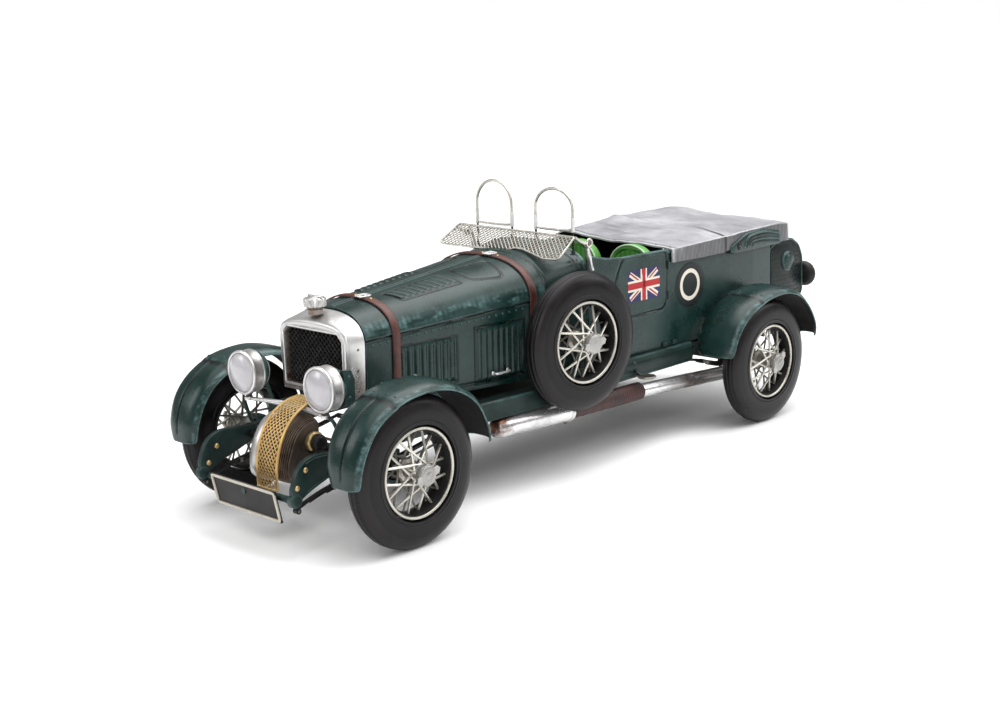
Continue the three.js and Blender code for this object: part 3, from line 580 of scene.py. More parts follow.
def build_wire_wheel():
    """Rim with a rolled bead, two crossing layers of spokes on a flanged hub."""
    build = Build()
    rim = [
        (BEAD - 0.35, -5.2), (BEAD - 1.2, -5.6), (BEAD - 1.9, -5.0), (BEAD - 2.3, -3.2), (BEAD - 3.0, -1.6),
        (BEAD - 3.0, 1.6), (BEAD - 2.3, 3.4), (BEAD - 2.0, 4.6), (BEAD - 0.4, 4.6), (BEAD - 0.35, -5.2),
    ]
    build.lathe(rim, "x", (0, 0, 0), BLACK, 96)
    bead = [(BEAD - 0.95 + 0.75 * math.cos(a), 5.1 + 0.75 * math.sin(a)) for a in np.linspace(0, 2 * math.pi, 17)]
    build.lathe(bead, "x", (0, 0, 0), WIRE, 96)
    hub = [
        (0.2, -4.4), (3.8, -4.4), (5.4, -4.0), (5.4, -3.2), (3.4, -2.4), (3.0, 3.2), (3.4, 6.0),
        (4.9, 6.6), (4.9, 7.4), (3.8, 7.8), (3.8, HUB_FACE), (0.2, HUB_FACE),
    ]
    build.lathe(hub, "x", (0, 0, 0), WIRE, 40)
    reach = BEAD - 2.6
    for layer, (hub_radius, hub_x, rim_x) in enumerate(((4.6, 7.0, 1.4), (5.0, -3.6, -0.6))):
        for k in range(SPOKES):
            for lean in (-1, 1):
                base = 2 * math.pi * (k + 0.5 * layer) / SPOKES
                start = base + lean * 1.0
                end = base - lean * 0.2
                a = np.array([hub_x, hub_radius * math.sin(start), hub_radius * math.cos(start)])
                b = np.array([rim_x + lean * 0.5, reach * math.sin(end), reach * math.cos(end)])
                build.tube([a, a + (b - a) * 0.5, b], 0.64 - 0.12 * layer, WIRE if layer == 0 else STEEL, 7)
                build.rivet(b, -b * [0, 1, 1], 0.75, WIRE, 0.7, 2, 8)
    return build


def build_hub_nut():
    """Octagonal knock-off nut with a domed cap and two ears."""
    build = Build()
    octagon = [(5.4 * math.cos(a), 5.4 * math.sin(a)) for a in np.linspace(0, 2 * math.pi, 8, endpoint=False) + math.pi / 8]
    build.prism(octagon, "yz", HUB_FACE + 0.35, HUB_FACE + 1.7, NUT_SILVER)
    dome = [(4.7, 1.5), (4.7, 2.0), (4.1, 2.45), (2.8, 2.75), (2.0, 2.6), (1.4, 2.85), (0.05, 2.95)]
    build.lathe([(r, HUB_FACE + t) for r, t in dome], "x", (0, 0, 0), NUT_SILVER, 32)
    for sign in (-1, 1):
        ear = [(sign * 2.6, -2.1), (sign * 6.2, -1.9), (sign * 7.6, 0), (sign * 6.2, 1.9), (sign * 2.6, 2.1)]
        build.prism(ear[::sign], "yz", HUB_FACE + 0.9, HUB_FACE + 2.3, NUT_SILVER)
    return build


tyre, wire_wheel, hub_nut = build_tyre(), build_wire_wheel(), build_hub_nut()
TURN = {"front_left": 0.3, "front_right": 1.1, "rear_left": 0.75, "rear_right": 2.0}


def wheel_at(position, side, turn=0.0, yaw=0.0, tilt=0.0):
    """Moves a wheel's points to its place; the right-hand wheels are turned round, not mirrored."""
    spin = Matrix.Rotation(turn, 3, "X")
    flip = Matrix.Rotation(0 if side > 0 else math.pi, 3, "Z")
    lean = Matrix.Rotation(yaw, 3, "Z") @ Matrix.Rotation(tilt, 3, "Y")
    matrix = np.array(lean @ flip @ spin)
    return lambda points: points @ matrix.T + np.asarray(position)


for end, y in (("front", FRONT_Y), ("rear", REAR_Y)):
    for side, sign in (("left", 1), ("right", -1)):
        key = f"{end}_{side}"
        place = wheel_at((sign * WHEEL_X, y, AXLE_Z), sign, TURN[key])
        body = f"wheel_{key}"
        tyre.piece(f"road_tyre_{key}", body, [f"tyre_{key}"], "tyre_rubber", at=place)
        wire_wheel.piece(f"spoked_wheel_{key}", body, [f"wire_wheel_{key}"], "wire_metal", at=place)
        hub_nut.piece(f"knock_off_nut_{key}", body, [f"hub_nut_{key}"], "aged_silver", sharp=30, bevel=0.15, at=place)

SPARE_CENTRE = (SPARE[0], SPARE[1], SPARE[2])
at_spare = wheel_at(SPARE_CENTRE, 1, 0.2, yaw=-math.radians(5))
tyre.piece("spare_tyre_fitted", "chassis", ["spare_tyre"], "tyre_rubber", at=at_spare)
spare_wheel = build_wire_wheel()
spare_wheel.tube([(-14.2, 0, 0), (0, 0, 0), (HUB_FACE, 0, 0)], 2.8, BLACK, 20)
nut = build_hub_nut()
spare_wheel.add(nut.verts, nut.faces, NUT_SILVER)
spare_wheel.piece("spare_wheel_and_bracket", "chassis", ["spare_wire_wheel"], "wire_metal", at=at_spare)

# --- bonnet, scuttle and straps --------------------------------------------------------------------

BONNET_FRONT = (box("bonnet")[0] - ORIGIN)[1]
BONNET_REAR = (box("bonnet")[1] - ORIGIN)[1]
COWL_REAR = (box("scuttle")[1] - ORIGIN)[1]
SECTION_POWER = 2.4
# y, half width at the bottom, bottom z, half width at the shoulder, shoulder z, crown z
BODY_LINES = np.array([
    [BONNET_FRONT, 24.6, 56, 25.6, 87, 103],
    [BONNET_REAR + 0.3, 35.5, 52.4, 36.4, 94, 115],
    [COWL_REAR, 39.6, 52.4, 40.4, 103, 118],
])
CROWN_SHARE = 0.6


def body_surface(y, s, lift=0.0):
    """A point of the bonnet and scuttle skin: s runs from -1 at the right bottom edge to 1 at the left."""
    y, s = np.broadcast_arrays(np.asarray(y, dtype=float), np.asarray(s, dtype=float))
    width, bottom, shoulder, shoulder_z, crown = (np.interp(y, BODY_LINES[:, 0], BODY_LINES[:, k]) for k in range(1, 6))
    size = np.abs(s)
    angle = np.clip(size / CROWN_SHARE, 0, 1) * math.pi / 2
    x = shoulder * np.sin(angle) ** (2 / SECTION_POWER)
    z = shoulder_z + (crown - shoulder_z) * np.maximum(np.cos(angle), 0) ** (2 / SECTION_POWER)
    down = np.clip((size - CROWN_SHARE) / (1 - CROWN_SHARE), 0, 1)
    x = np.where(size > CROWN_SHARE, shoulder + (width - shoulder) * down, x)
    z = np.where(size > CROWN_SHARE, shoulder_z + (bottom - shoulder_z) * down, z)
    points = np.stack([np.sign(s) * x, y, z], axis=-1)
    return points


def normals_of(points):
    u = np.gradient(points, axis=0)
    v = np.gradient(points, axis=1)
    n = np.cross(u, v)
    return n / np.maximum(np.linalg.norm(n, axis=-1, keepdims=True), 1e-9)


def skin_grid(y0, y1, rows, columns, s0=-1.0, s1=1.0, relief=None):
    y = np.linspace(y0, y1, rows)[:, None] * np.ones(columns)
    s = np.ones((rows, 1)) * np.linspace(s0, s1, columns)
    points = body_surface(y, s)
    outwards = -normals_of(points)
    outwards *= np.sign(outwards[..., 2:3] * 0.5 + outwards[..., 0:1] * np.sign(points[..., 0:1]) + 1e-6)
    if relief is not None:
        points = points + outwards * relief(points)[..., None]
    return points, outwards


SIDE_LOUVRES = ((-110, -76, 61.5, 82.5), (-63, -33, 57.5, 84))
LOUVRE_PITCH = 4.0


def louvre_block(a, b, a0, a1, b0, b1, count, height):
    """Upright ribs inside a sunk frame; a runs across the ribs and b along them."""
    inside = step(a, a0, a0 + 0.5) * step(-a, -a1, -a1 + 0.5)
    pitch = (a1 - a0) / count
    phase = ((a - a0) / pitch) % 1
    rib = np.sin(np.clip(phase / 0.78, 0, 1) * math.pi) ** 0.7
    ends = step(b, b0 + 0.3, b0 + 1.6) * step(-b, -b1 + 0.3, -b1 + 1.6)
    edge = np.maximum(np.abs(a - (a0 + a1) / 2) - (a1 - a0) / 2, np.abs(b - (b0 + b1) / 2) - (b1 - b0) / 2)
    frame_line = bell(edge - 0.9, 0.45)
    return height * rib * ends * inside - 0.5 * frame_line


def rounded_distance(a, b, corners, radius):
    """Distance to the outline of a convex polygon whose corners are rounded."""
    corners = np.asarray(corners, dtype=float)
    middle = corners.mean(axis=0)
    worst = np.full(np.shape(a), -1e9)
    for i in range(len(corners)):
        p, q = corners[i], corners[(i + 1) % len(corners)]
        edge = (q - p) / np.linalg.norm(q - p)
        normal = np.array([edge[1], -edge[0]])
        if np.dot(middle - p, normal) > 0:
            normal = -normal
        d = (a - p[0]) * normal[0] + (b - p[1]) * normal[1]
        worst = np.logaddexp(worst / radius, d / radius) * radius
    return np.abs(worst)


TOP_PATCH = [(7.5, -103), (18.5, -99), (21.5, -62), (7.5, -65)]
HATCH = [(6.5, -57), (22, -56.5), (28, -38), (9.5, -33.5)]


def hinge_height(y):
    return np.interp(y, [BONNET_FRONT, BONNET_REAR], [88.6, 93.0])


def bonnet_relief(points):
    x, y, z = np.abs(points[..., 0]), points[..., 1], points[..., 2]
    side = step(z * -1, -hinge_height(y), -hinge_height(y) + 0.6)
    lift = np.zeros_like(x)
    for y0, y1, z0, z1 in SIDE_LOUVRES:
        lift += side * louvre_block(y, z, y0, y1, z0, z1, round((y1 - y0) / LOUVRE_PITCH), 0.75)
    top = step(z, 90, 93)
    along = np.interp(x, [7.5, 20], [0, 1])
    patch_front = np.interp(x, [7.5, 18.5], [-103, -99])
    patch_rear = np.interp(x, [7.5, 21.5], [-65, -62])
    inner, outer = 8.2, np.interp(y, [-100, -62], [17.8, 20.6])
    count = 9
    phase = ((y - patch_front) / (patch_rear - patch_front) * count) % 1
    within = step(y, patch_front, patch_front + 0.8) * step(-y, -patch_rear, -patch_rear + 0.8)
    ends = step(x, inner, inner + 1.2) * step(-x, -outer, -outer + 1.2)
    lift += top * 0.7 * np.sin(np.clip(phase / 0.8, 0, 1) * math.pi) ** 0.8 * within * ends
    lift -= top * 0.4 * bell(rounded_distance(x, y, TOP_PATCH, 0.6), 0.45)
    lift -= top * 0.5 * bell(rounded_distance(x, y, HATCH, 1.6), 0.5)
    lift -= 0.7 * bell(z - hinge_height(y), 0.4) * step(x, 20, 22)
    lift += 0.25 * step(z, hinge_height(y) + 0.2, hinge_height(y) + 1.0) * step(-z, -hinge_height(y) - 3.5, -hinge_height(y) - 1.5)
    lift -= 0.5 * bell(z - np.interp(y, [BONNET_FRONT, BONNET_REAR], [58.5, 56.2]), 0.45) * step(x, 20, 22)
    return np.clip(lift, -0.7, 0.9) - 0.15


def rubbed_band_and_sheen(points):
    """Bright band along the shoulders, strongest just above the side hinge: rubbed paint, with a painted sheen where
    the shoulders catch the light.
    """
    x, y, z = np.abs(points[..., 0]), points[..., 1], points[..., 2]
    band = bell(z - hinge_height(y) - 5.0, 2.6) * step(x, 18, 23)
    hammered = 0.55 + 0.45 * np.sin(y * 1.35) * np.sin(y * 0.71 + 1.0)
    return np.clip(band * hammered + 0.25 * bell(z - hinge_height(y) - 1.2, 0.7), 0, 1)


# Dark lines along the hinge groove, the hatch and patch outlines, the louvre frames and the low ledge: painted shade in
# these grooves.
def sunk(points):
    x, y, z = np.abs(points[..., 0]), points[..., 1], points[..., 2]
    lines = bell(z - hinge_height(y), 0.7) * step(x, 20, 22)
    lines = np.maximum(lines, 1.4 * bell(rounded_distance(x, y, HATCH, 1.6), 0.85) * step(z, 90, 93))
    lines = np.maximum(lines, 1.3 * bell(rounded_distance(x, y, TOP_PATCH, 0.6), 0.75) * step(z, 90, 93))
    for y0, y1, z0, z1 in SIDE_LOUVRES:
        frame = np.maximum(np.abs(y - (y0 + y1) / 2) - (y1 - y0) / 2, np.abs(z - (z0 + z1) / 2) - (z1 - z0) / 2)
        lines = np.maximum(lines, 1.1 * bell(frame - 0.9, 0.6) * (z < hinge_height(y) - 1))
    low = bell(z - np.interp(y, [BONNET_FRONT, BONNET_REAR], [58.5, 56.2]), 0.9)
    return np.clip(np.maximum(lines, low * 0.8), 0, 1)


bonnet = Build()
outer, out = skin_grid(BONNET_FRONT + 0.2, BONNET_REAR - 0.2, 340, 261, relief=bonnet_relief)
bonnet.sheet(outer, outer - out * 1.0, GREEN, BLACK, wear_and_sheen=rubbed_band_and_sheen(outer), soil_and_shade=sunk(outer) * 0.9)
for side in (-1, 1):
    for y in np.arange(BONNET_FRONT + 4, BONNET_REAR - 2, 4.4):
        if min(abs(y + 112), abs(y + 26)) < 3.4:
            continue
        z = hinge_height(y) - 2.3
        x = np.interp(y, BODY_LINES[:, 0], BODY_LINES[:, 3]) - 0.1
        bonnet.rivet((side * x, y, z), (side, 0, 0), 0.62, GREEN, 0.45)
    ridge_y = np.linspace(BONNET_FRONT + 1, BONNET_REAR - 1, 60)
    crown = np.interp(ridge_y, BODY_LINES[:, 0], BODY_LINES[:, 5])
    bonnet.tube(np.stack([side * 1.5 + 0 * ridge_y, ridge_y, crown - 0.45], axis=-1), 0.5, GREEN, 8)
crown = np.interp(ridge_y, BODY_LINES[:, 0], BODY_LINES[:, 5])
bonnet.tube(np.stack([0 * ridge_y, ridge_y, crown - 0.35], axis=-1), 0.75, GREEN_DARK, 8)
bonnet.piece("bonnet_skin", "chassis", ["bonnet"], "body_paint", sharp=60)

handle = Build()
for side in (-1, 1):
    loop = [(0, -5.2, 0), (1.5, -5.0, 0), (2.2, -3.8, 0), (2.3, 0, 0), (2.2, 3.8, 0), (1.5, 5.0, 0), (0, 5.2, 0)]
    base = np.array([side * 33.9, -49.4, 60.6])
    path = smooth_path(loop, 28) * [side, 1, 1] + base
    handle.tube(path, 0.55, SILVER, 8)
    for end in (-5.2, 5.2):
        handle.rivet(base + [-side * 0.1, end, 0], (side, 0, 0), 1.1, SILVER, 0.5)
handle.piece("bonnet_catches", "chassis", slot="aged_silver")


def strap(name, node, y, buckle_x):
    """A leather band over the bonnet with rounded edges, a frame buckle on top and a stud either side of the buckle."""
    build = Build()
    width = 4.6
    s = np.linspace(-0.97, 0.97, 181)
    offsets = np.array([-0.5, -0.46, -0.36, 0, 0.36, 0.46, 0.5])
    heights = np.array([0.45, 0.8, 0.98, 1.05, 0.98, 0.8, 0.45])
    base = body_surface(y + 0 * s[:, None] + offsets * width, s[:, None])
    spread, out = skin_grid(y - width / 2, y + width / 2, 7, 181, -0.97, 0.97)
    out = np.transpose(out, (1, 0, 2))
    build.sheet(base + out * heights[None, :, None], base + out * 0.33, LEATHER)
    build.piece(name, "chassis", [node], "strap", sharp=50)
    metal = Build()
    top = np.interp(y, BODY_LINES[:, 0], BODY_LINES[:, 5])

    def on_top(x, dy, lift):
        shoulder = np.interp(y, BODY_LINES[:, 0], BODY_LINES[:, 3])
        level = np.interp(y, BODY_LINES[:, 0], BODY_LINES[:, 4])
        height = (top - level) * (1 - (abs(x) / shoulder) ** SECTION_POWER) ** (1 / SECTION_POWER)
        return np.array([x, y + dy, level + height + lift])

    corners = [(-2.4, -3.1), (2.4, -3.1), (2.4, 3.1), (-2.4, 3.1)]
    loop = []
    for i in range(4):
        a, b = np.array(corners[i]), np.array(corners[(i + 1) % 4])
        for t in (0.12, 0.35, 0.65, 0.88):
            p = a + (b - a) * t
            loop.append(on_top(buckle_x + p[0], p[1], 1.25))
    metal.tube(loop, 0.45, SILVER, 8, closed=True)
    metal.tube([on_top(buckle_x, -3.0, 1.35), on_top(buckle_x, 3.0, 1.35)], 0.4, SILVER, 8)
    metal.tube([on_top(buckle_x, 0, 1.5), on_top(buckle_x + 2.6, 0, 1.6)], 0.35, SILVER, 8)
    for x in (buckle_x + 5.5, buckle_x - 5.5):
        metal.rivet(on_top(x, 0, 0.95), (0, 0, 1), 0.8, BRASS, 0.5)
    metal.piece(name + "_buckle", "chassis", slot="aged_silver")


strap("strap_front", "bonnet_strap_front", -112, 5)
strap("strap_rear", "bonnet_strap_rear", -26, 6)


# --- fenders ---------------------------------------------------------------------------------------

# y, z, inner x, outer x along the crown of each fender, front to rear
FRONT_FENDER = [
    (-178.5, 37, 50, 71), (-178, 47, 48.5, 72), (-173.5, 58.5, 47.5, 73), (-165, 68, 47, 73),
    (-152, 74.6, 47, 73.5), (-138, 77, 47, 73.5), (-126, 76.5, 47, 73.5), (-113, 72.5, 47, 73),
    (-102, 64.5, 47, 73), (-95, 54, 47, 72), (-90, 42, 48, 71),
]
REAR_FENDER = [
    (96, 45, 44, 70), (98.5, 56, 44, 71), (106, 66.5, 44, 72), (118, 74, 44, 73),
    (134, 78, 44.5, 73.5), (150, 78, 45, 73.5), (164, 73.5, 46, 73), (175, 64.5, 48, 72.5),
    (183, 54, 51, 71.5), (187, 44.5, 54, 70),
]


def fender(name, node, rows, seam, rounding, fold_line=0, extra=None):
    """A crowned sheet with turned-down sides and a wired edge, with a lapped seam across it."""
    stations = 150
    path = smooth_path([(0, y, z, inner, outer) for y, z, inner, outer in rows], stations)
    tangent = np.gradient(path[:, :3], axis=0)
    tangent /= np.linalg.norm(tangent, axis=1)[:, None]
    across = np.linspace(-1, 1, 61)
    drop = 3.1 * np.abs(across) ** 4.5 + 0.25 * across**2
    t = np.linspace(0, 1, stations)
    lap = 0.35 * step(t, seam, seam + 0.006) - 0.3
    groove = 0.6 * bell(across - 0.12, 0.05)[None, :] * (step(t, 0.02, 0.04) * step(-t, -seam, -seam + 0.01))[:, None]
    middle = (path[:, 3] + path[:, 4]) / 2
    half = (path[:, 4] - path[:, 3]) / 2 - 0.35
    ends = np.minimum(t, 1 - t) * (stations - 1)
    corner = np.clip(ends / rounding, 0, 1)
    half = half * (0.82 + 0.18 * np.sqrt(1 - (1 - corner) ** 2))

    def surface(depth):
        x = middle[:, None] + half[:, None] * across[None, :] * (1 - 0.02 * depth)
        inwards = drop[None, :] - lap[:, None] + groove * fold_line + depth
        y = path[:, 1][:, None] + tangent[:, 2][:, None] * inwards
        z = path[:, 2][:, None] - tangent[:, 1][:, None] * inwards
        return np.stack([x, y, z], axis=-1)

    outer, inner = surface(0.0), surface(0.75)
    # Painted highlight along the edges of the crown and at the lapped seam.
    shine = bell(np.abs(across) - 0.9, 0.07)[None, :] * np.ones((stations, 1)) * 0.8
    shine = np.maximum(shine, (0.9 * bell((t - seam) * stations, 1.6))[:, None] * np.ones(61))
    # Painted shade just ahead of the lapped seam, on the turned-down sides and in the fold groove.
    grime_and_shade = (1.3 * bell((t - seam + 0.008) * stations, 1.8))[:, None] * np.ones(61)
    grime_and_shade = np.maximum(grime_and_shade, bell(np.abs(across) - 0.78, 0.05)[None, :] * 0.35)
    grime_and_shade = np.maximum(grime_and_shade, 2.2 * groove * fold_line)
    rim = np.concatenate([surface(0.4)[:, 0], surface(0.4)[-1, 1:-1], surface(0.4)[::-1, -1], surface(0.4)[0, -2:0:-1]])
    for side, sign in (("left", 1), ("right", -1)):
        build = Build()
        turn = [sign, 1, 1]
        build.sheet(outer * turn, inner * turn, GREEN, BLACK, wear_and_sheen=shine, soil_and_shade=grime_and_shade)
        build.tube(rim * turn, 0.42, GREEN, 8, closed=True, wear_and_sheen=0.6)
        station = int(seam * stations) + 4
        for j in (9, 20, 40, 51):
            p = outer[station, j]
            normal = np.array([0, -tangent[station][2], tangent[station][1]])
            build.rivet(p * turn, normal * turn, 0.6, GREEN, 0.4)
        if extra:
            extra(build, sign)
        build.piece(f"{name}_{side}", "chassis", [f"{node}_{side}"], "body_paint", sharp=55)


def front_fender_stays(build, sign):
    for y0, y1 in ((-140, -136), (-120, -118)):
        build.tube([(sign * 48.6, y0, 74.6), (sign * 42, (y0 + y1) / 2, 63), (sign * 38.2, y1, 50)], 1.0, GREEN_DARK, 10)
    plate = [(-140, 44.5), (-114, 44.5), (-114, 50), (-118, 52.5), (-136, 52.5), (-140, 50)]
    build.prism(plate, "yz", *sorted((sign * 36.9, sign * 38.2)), GREEN_DARK)
    for y in (-137, -127, -117):
        build.rivet((sign * 38.2, y, 48.5), (sign, 0, 0), 0.9, BRASS)


def rear_fender_lamp(build, sign):
    base = np.array([sign * 63.5, 180.6, 60.6])
    build.rivet(base, (0, 0.75, 0.66), 2.3, SILVER, 2.4, 5, 16)
    build.rivet(base + [0, 1.3, 1.3], (0, 0.75, 0.66), 1.2, LENS, 1.0, 3, 12)


fender("front_fender", "fender_front", FRONT_FENDER, 0.36, 10, fold_line=1, extra=front_fender_stays)
fender("rear_fender", "fender_rear", REAR_FENDER, 0.36, 8, extra=rear_fender_lamp)

# --- scuttle and dash ------------------------------------------------------------------------------

SCUTTLE_FRONT = (box("scuttle")[0] - ORIGIN)[1]


def scuttle_relief(points):
    x, y, z = np.abs(points[..., 0]), points[..., 1], points[..., 2]
    lift = 0.5 * step(y, COWL_REAR - 2.2, COWL_REAR - 1.0)
    lift = lift - 0.4 * bell(y - (SCUTTLE_FRONT + 1.4), 0.5)
    lift -= 0.35 * bell(y - (COWL_REAR - 6), 0.5) * step(z, 96, 99)
    return lift - 0.5


scuttle = Build()
outer, out = skin_grid(SCUTTLE_FRONT + 0.1, COWL_REAR - 0.1, 90, 241, relief=scuttle_relief)
edge = bell(outer[..., 1] - COWL_REAR + 1.2, 0.9)
groove = bell(outer[..., 1] - (SCUTTLE_FRONT + 1.4), 0.8) + bell(outer[..., 1] - (COWL_REAR - 6), 0.7) * (outer[..., 2] > 96)
scuttle.sheet(outer, outer - out * 0.6, GREEN, BLACK, wear_and_sheen=edge * 0.8, soil_and_shade=np.clip(groove, 0, 1))
s = np.linspace(-CROWN_SHARE, CROWN_SHARE, 60)
dash_edge = body_surface(COWL_REAR - 2.2, s)[:, [0, 2]] * 1.0
dash_edge[:, 0] *= 0.968
dash_edge[:, 1] -= 1.4
outline = [tuple(p) for p in dash_edge] + [(38, 82.2), (-38, 82.2)]
scuttle.prism(outline, "xz", COWL_REAR - 2.9, COWL_REAR - 1.7, BLACK)
for x, r in ((-27, 4.2), (-12, 3.2), (0, 4.6), (12, 3.2), (26, 3.6)):
    face = [(r + 0.5, 0), (r + 0.5, 0.7), (r, 0.9), (r - 0.3, 0.5), (0.05, 0.45)]
    scuttle.lathe([(a, COWL_REAR - 1.7 + b) for a, b in face], "y", (x, 0, 97), SILVER, 32)
    scuttle.tube([(x, COWL_REAR - 1.1, 97), (x + r * 0.45, COWL_REAR - 1.1, 97 + r * 0.5)], 0.2, CREAM, 6)
for x in np.linspace(-36, 36, 19):
    y = COWL_REAR - 3.4
    shoulder, level, crown_z = (np.interp(y, BODY_LINES[:, 0], BODY_LINES[:, k]) for k in (3, 4, 5))
    height = (crown_z - level) * (1 - (abs(x) / shoulder) ** SECTION_POWER) ** (1 / SECTION_POWER)
    scuttle.rivet((x, y, level + height - 0.5), (x / 60, 0, 1), 0.5, GREEN, 0.35)
scuttle.piece("scuttle_and_dash", "chassis", ["scuttle"], "body_paint", sharp=60)

# --- body sides ------------------------------------------------------------------------------------

# y, outer x, bottom z, top z
SIDE_LINE = np.array([
    [COWL_REAR + 0.3, 40.4, 52.2, 111.5],
    [18, 40.7, 52.1, 110.4],
    [27, 41, 52, 108.4],
    [39, 41.3, 51.8, 107.4],
    [76, 42.1, 51.3, 106.9],
    [78.4, 42.2, 51.2, 105.4],
    [134, 42.6, 50.8, 105.4],
    [158, 42.2, 50.8, 105.4],
    [177, 41, 52, 104],
])
SIDE_END = 177
DOOR = [(38.6, 106.4), (75.6, 106.4), (75.6, 77), (72.6, 73.8), (34, 74.2), (31, 92)]
MARK = np.array([96.2, 84.2])
MARK_RADIUS = 12.6
FLAG = (42.6, 69.2, 81.6, 98.8)


def side_x(y, z):
    x, bottom, top = (np.interp(y, SIDE_LINE[:, 0], SIDE_LINE[:, k]) for k in (1, 2, 3))
    lower = np.clip(1 - (z - bottom) / 14, 0, 1)
    upper = np.clip(1 - (top - z) / 10, 0, 1)
    return x - 1.6 * lower**1.6 - 0.4 * upper


def side_relief(y, z):
    door = rounded_distance(y, z, DOOR, 1.4)
    lift = -0.45 * bell(door, 0.45)
    in_door = (y > 35) & (y < 75.6) & (z > 74)
    lift += 0.12 * in_door
    roll = np.hypot(y - MARK[0], z - MARK[1]) - MARK_RADIUS
    lift -= 0.18 * bell(roll, 0.5)
    return lift


y = np.linspace(COWL_REAR + 0.5, SIDE_END - 0.2, 330)[:, None]
v = np.linspace(0, 1, 150)[None, :]
bottom = np.interp(y, SIDE_LINE[:, 0], SIDE_LINE[:, 2]) + 0.3
top = np.interp(y, SIDE_LINE[:, 0], SIDE_LINE[:, 3]) - 0.3
z = bottom + (top - bottom) * v
yy = y + 0 * z
relief = side_relief(yy, z)
outer = np.stack([side_x(yy, z) - 0.35 + relief, yy, z], axis=-1)
inner = outer.copy()
inner[..., 0] = side_x(yy, z) - 1.15
# Darker along the door outline and round the roundel's rolled edge: painted shade in these grooves, with a dark wash.
shade_and_dirt = 1.3 * bell(rounded_distance(yy, z, DOOR, 1.4), 0.8)
shade_and_dirt = np.maximum(shade_and_dirt, 0.75 * bell(np.hypot(yy - MARK[0], z - MARK[1]) - MARK_RADIUS, 1.0))
# Lighter along the top edge and just outside the door outline: rubbed paint with some painted sheen.
wear_and_sheen_mask = 0.7 * bell(top - z, 0.8) + 0.35 * bell(rounded_distance(yy, z, DOOR, 1.4) - 1.1, 0.5)
for side, sign in (("left", 1), ("right", -1)):
    build = Build()
    turn = [sign, 1, 1]
    build.sheet(outer * turn, inner * turn, GREEN, BLACK, wear_and_sheen=np.clip(wear_and_sheen_mask, 0, 1), soil_and_shade=np.clip(shade_and_dirt, 0, 1))
    edge_y = np.linspace(COWL_REAR + 1.2, SIDE_END - 1, 80)
    edge_z = np.interp(edge_y, SIDE_LINE[:, 0], SIDE_LINE[:, 3]) - 0.75
    build.tube(np.stack([side_x(edge_y, edge_z) - 0.75, edge_y, edge_z], axis=-1) * turn, 0.7, GREEN, 10, wear_and_sheen=0.5)
    for hinge_z in (81, 98):
        x = side_x(76, hinge_z) - 0.1
        build.tube([(sign * x, 76.9, hinge_z - 2.2), (sign * x, 76.9, hinge_z + 2.2)], 0.6, GREEN_DARK, 8)
    x = side_x(58, 60)
    for base_y in (74, 82.5):
        build.prism([(base_y - 1.6, 52.6), (base_y + 1.6, 52.6), (base_y + 1.6, 54.8), (base_y - 1.6, 54.8)], "yz",
                    *sorted((sign * (x - 1.2), sign * (x + 0.2))), GREEN_DARK)
        build.rivet((sign * (x + 0.1), base_y, 53.7), (sign, 0, 0), 0.7, BLACK, 0.4)
    build.piece(f"body_side_skin_{side}", "chassis", [f"body_side_{side}"], "body_paint", sharp=60)


def decal(name, sign, outline_sets):
    """Thin painted shapes lying on a body side; each set is a material and a list of y, z outlines."""
    build = Build()
    for lift, material, outlines in outline_sets:
        for outline in outlines:
            outline = np.asarray(outline, dtype=float)
            mid = outline.mean(axis=0)
            rings = [outline, mid + (outline - mid) * 0.5]
            count = len(outline)
            points = np.concatenate([rings[0], rings[1], [mid]])
            x = side_x(points[:, 0], points[:, 1]) - 0.35 + lift + 0.12 * ((points[:, 0] > 35) & (points[:, 0] < 75.6))
            faces = [(j, (j + 1) % count, count + (j + 1) % count, count + j) for j in range(count)]
            faces += [(count + j, count + (j + 1) % count, 2 * count) for j in range(count)]
            verts = np.stack([sign * x, points[:, 0], points[:, 1]], axis=-1)
            build.add(verts, faces, material)
    build.piece(name, "chassis", slot="body_paint", sharp=60)


def ring(middle, radius, width, count=48):
    """A flat ring as short blocks, so that it follows the panel."""
    parts = []
    angle = np.linspace(0, 2 * math.pi, count + 1)
    for a, b in zip(angle[:-1], angle[1:]):
        parts.append([
            (middle[0] + r * math.cos(t), middle[1] + r * math.sin(t))
            for r, t in ((radius, a), (radius, b), (radius - width, b), (radius - width, a))
        ])
    return parts


def disc(middle, radius, count=40):
    return [[(middle[0] + radius * math.cos(t), middle[1] + radius * math.sin(t)) for t in np.linspace(0, 2 * math.pi, count, endpoint=False)]]


ROUNDEL = aged("roundel_black", srgb(22, 26, 26), srgb(52, 60, 60), srgb(6, 8, 8), (0.35, 0.5), 0.05, 0.3, 0.5, 0.3, 0.25)
for side, sign in (("left", 1), ("right", -1)):
    decal(f"side_roundel_{side}", sign, [
        (0.05, ROUNDEL, disc(MARK, MARK_RADIUS - 0.6)),
        (0.12, CREAM, ring(MARK, MARK_RADIUS - 3.6, 2.3)),
    ])

FLAG_BLUE = aged("flag_blue", srgb(34, 30, 78), srgb(74, 70, 116), srgb(12, 10, 30), (0.35, 0.5), 0.0, 0.3, 0.5, 0.4, 0.25)
FLAG_RED = aged("flag_red", srgb(160, 26, 32), srgb(190, 64, 64), srgb(60, 10, 14), (0.35, 0.5), 0.0, 0.3, 0.5, 0.4, 0.25)


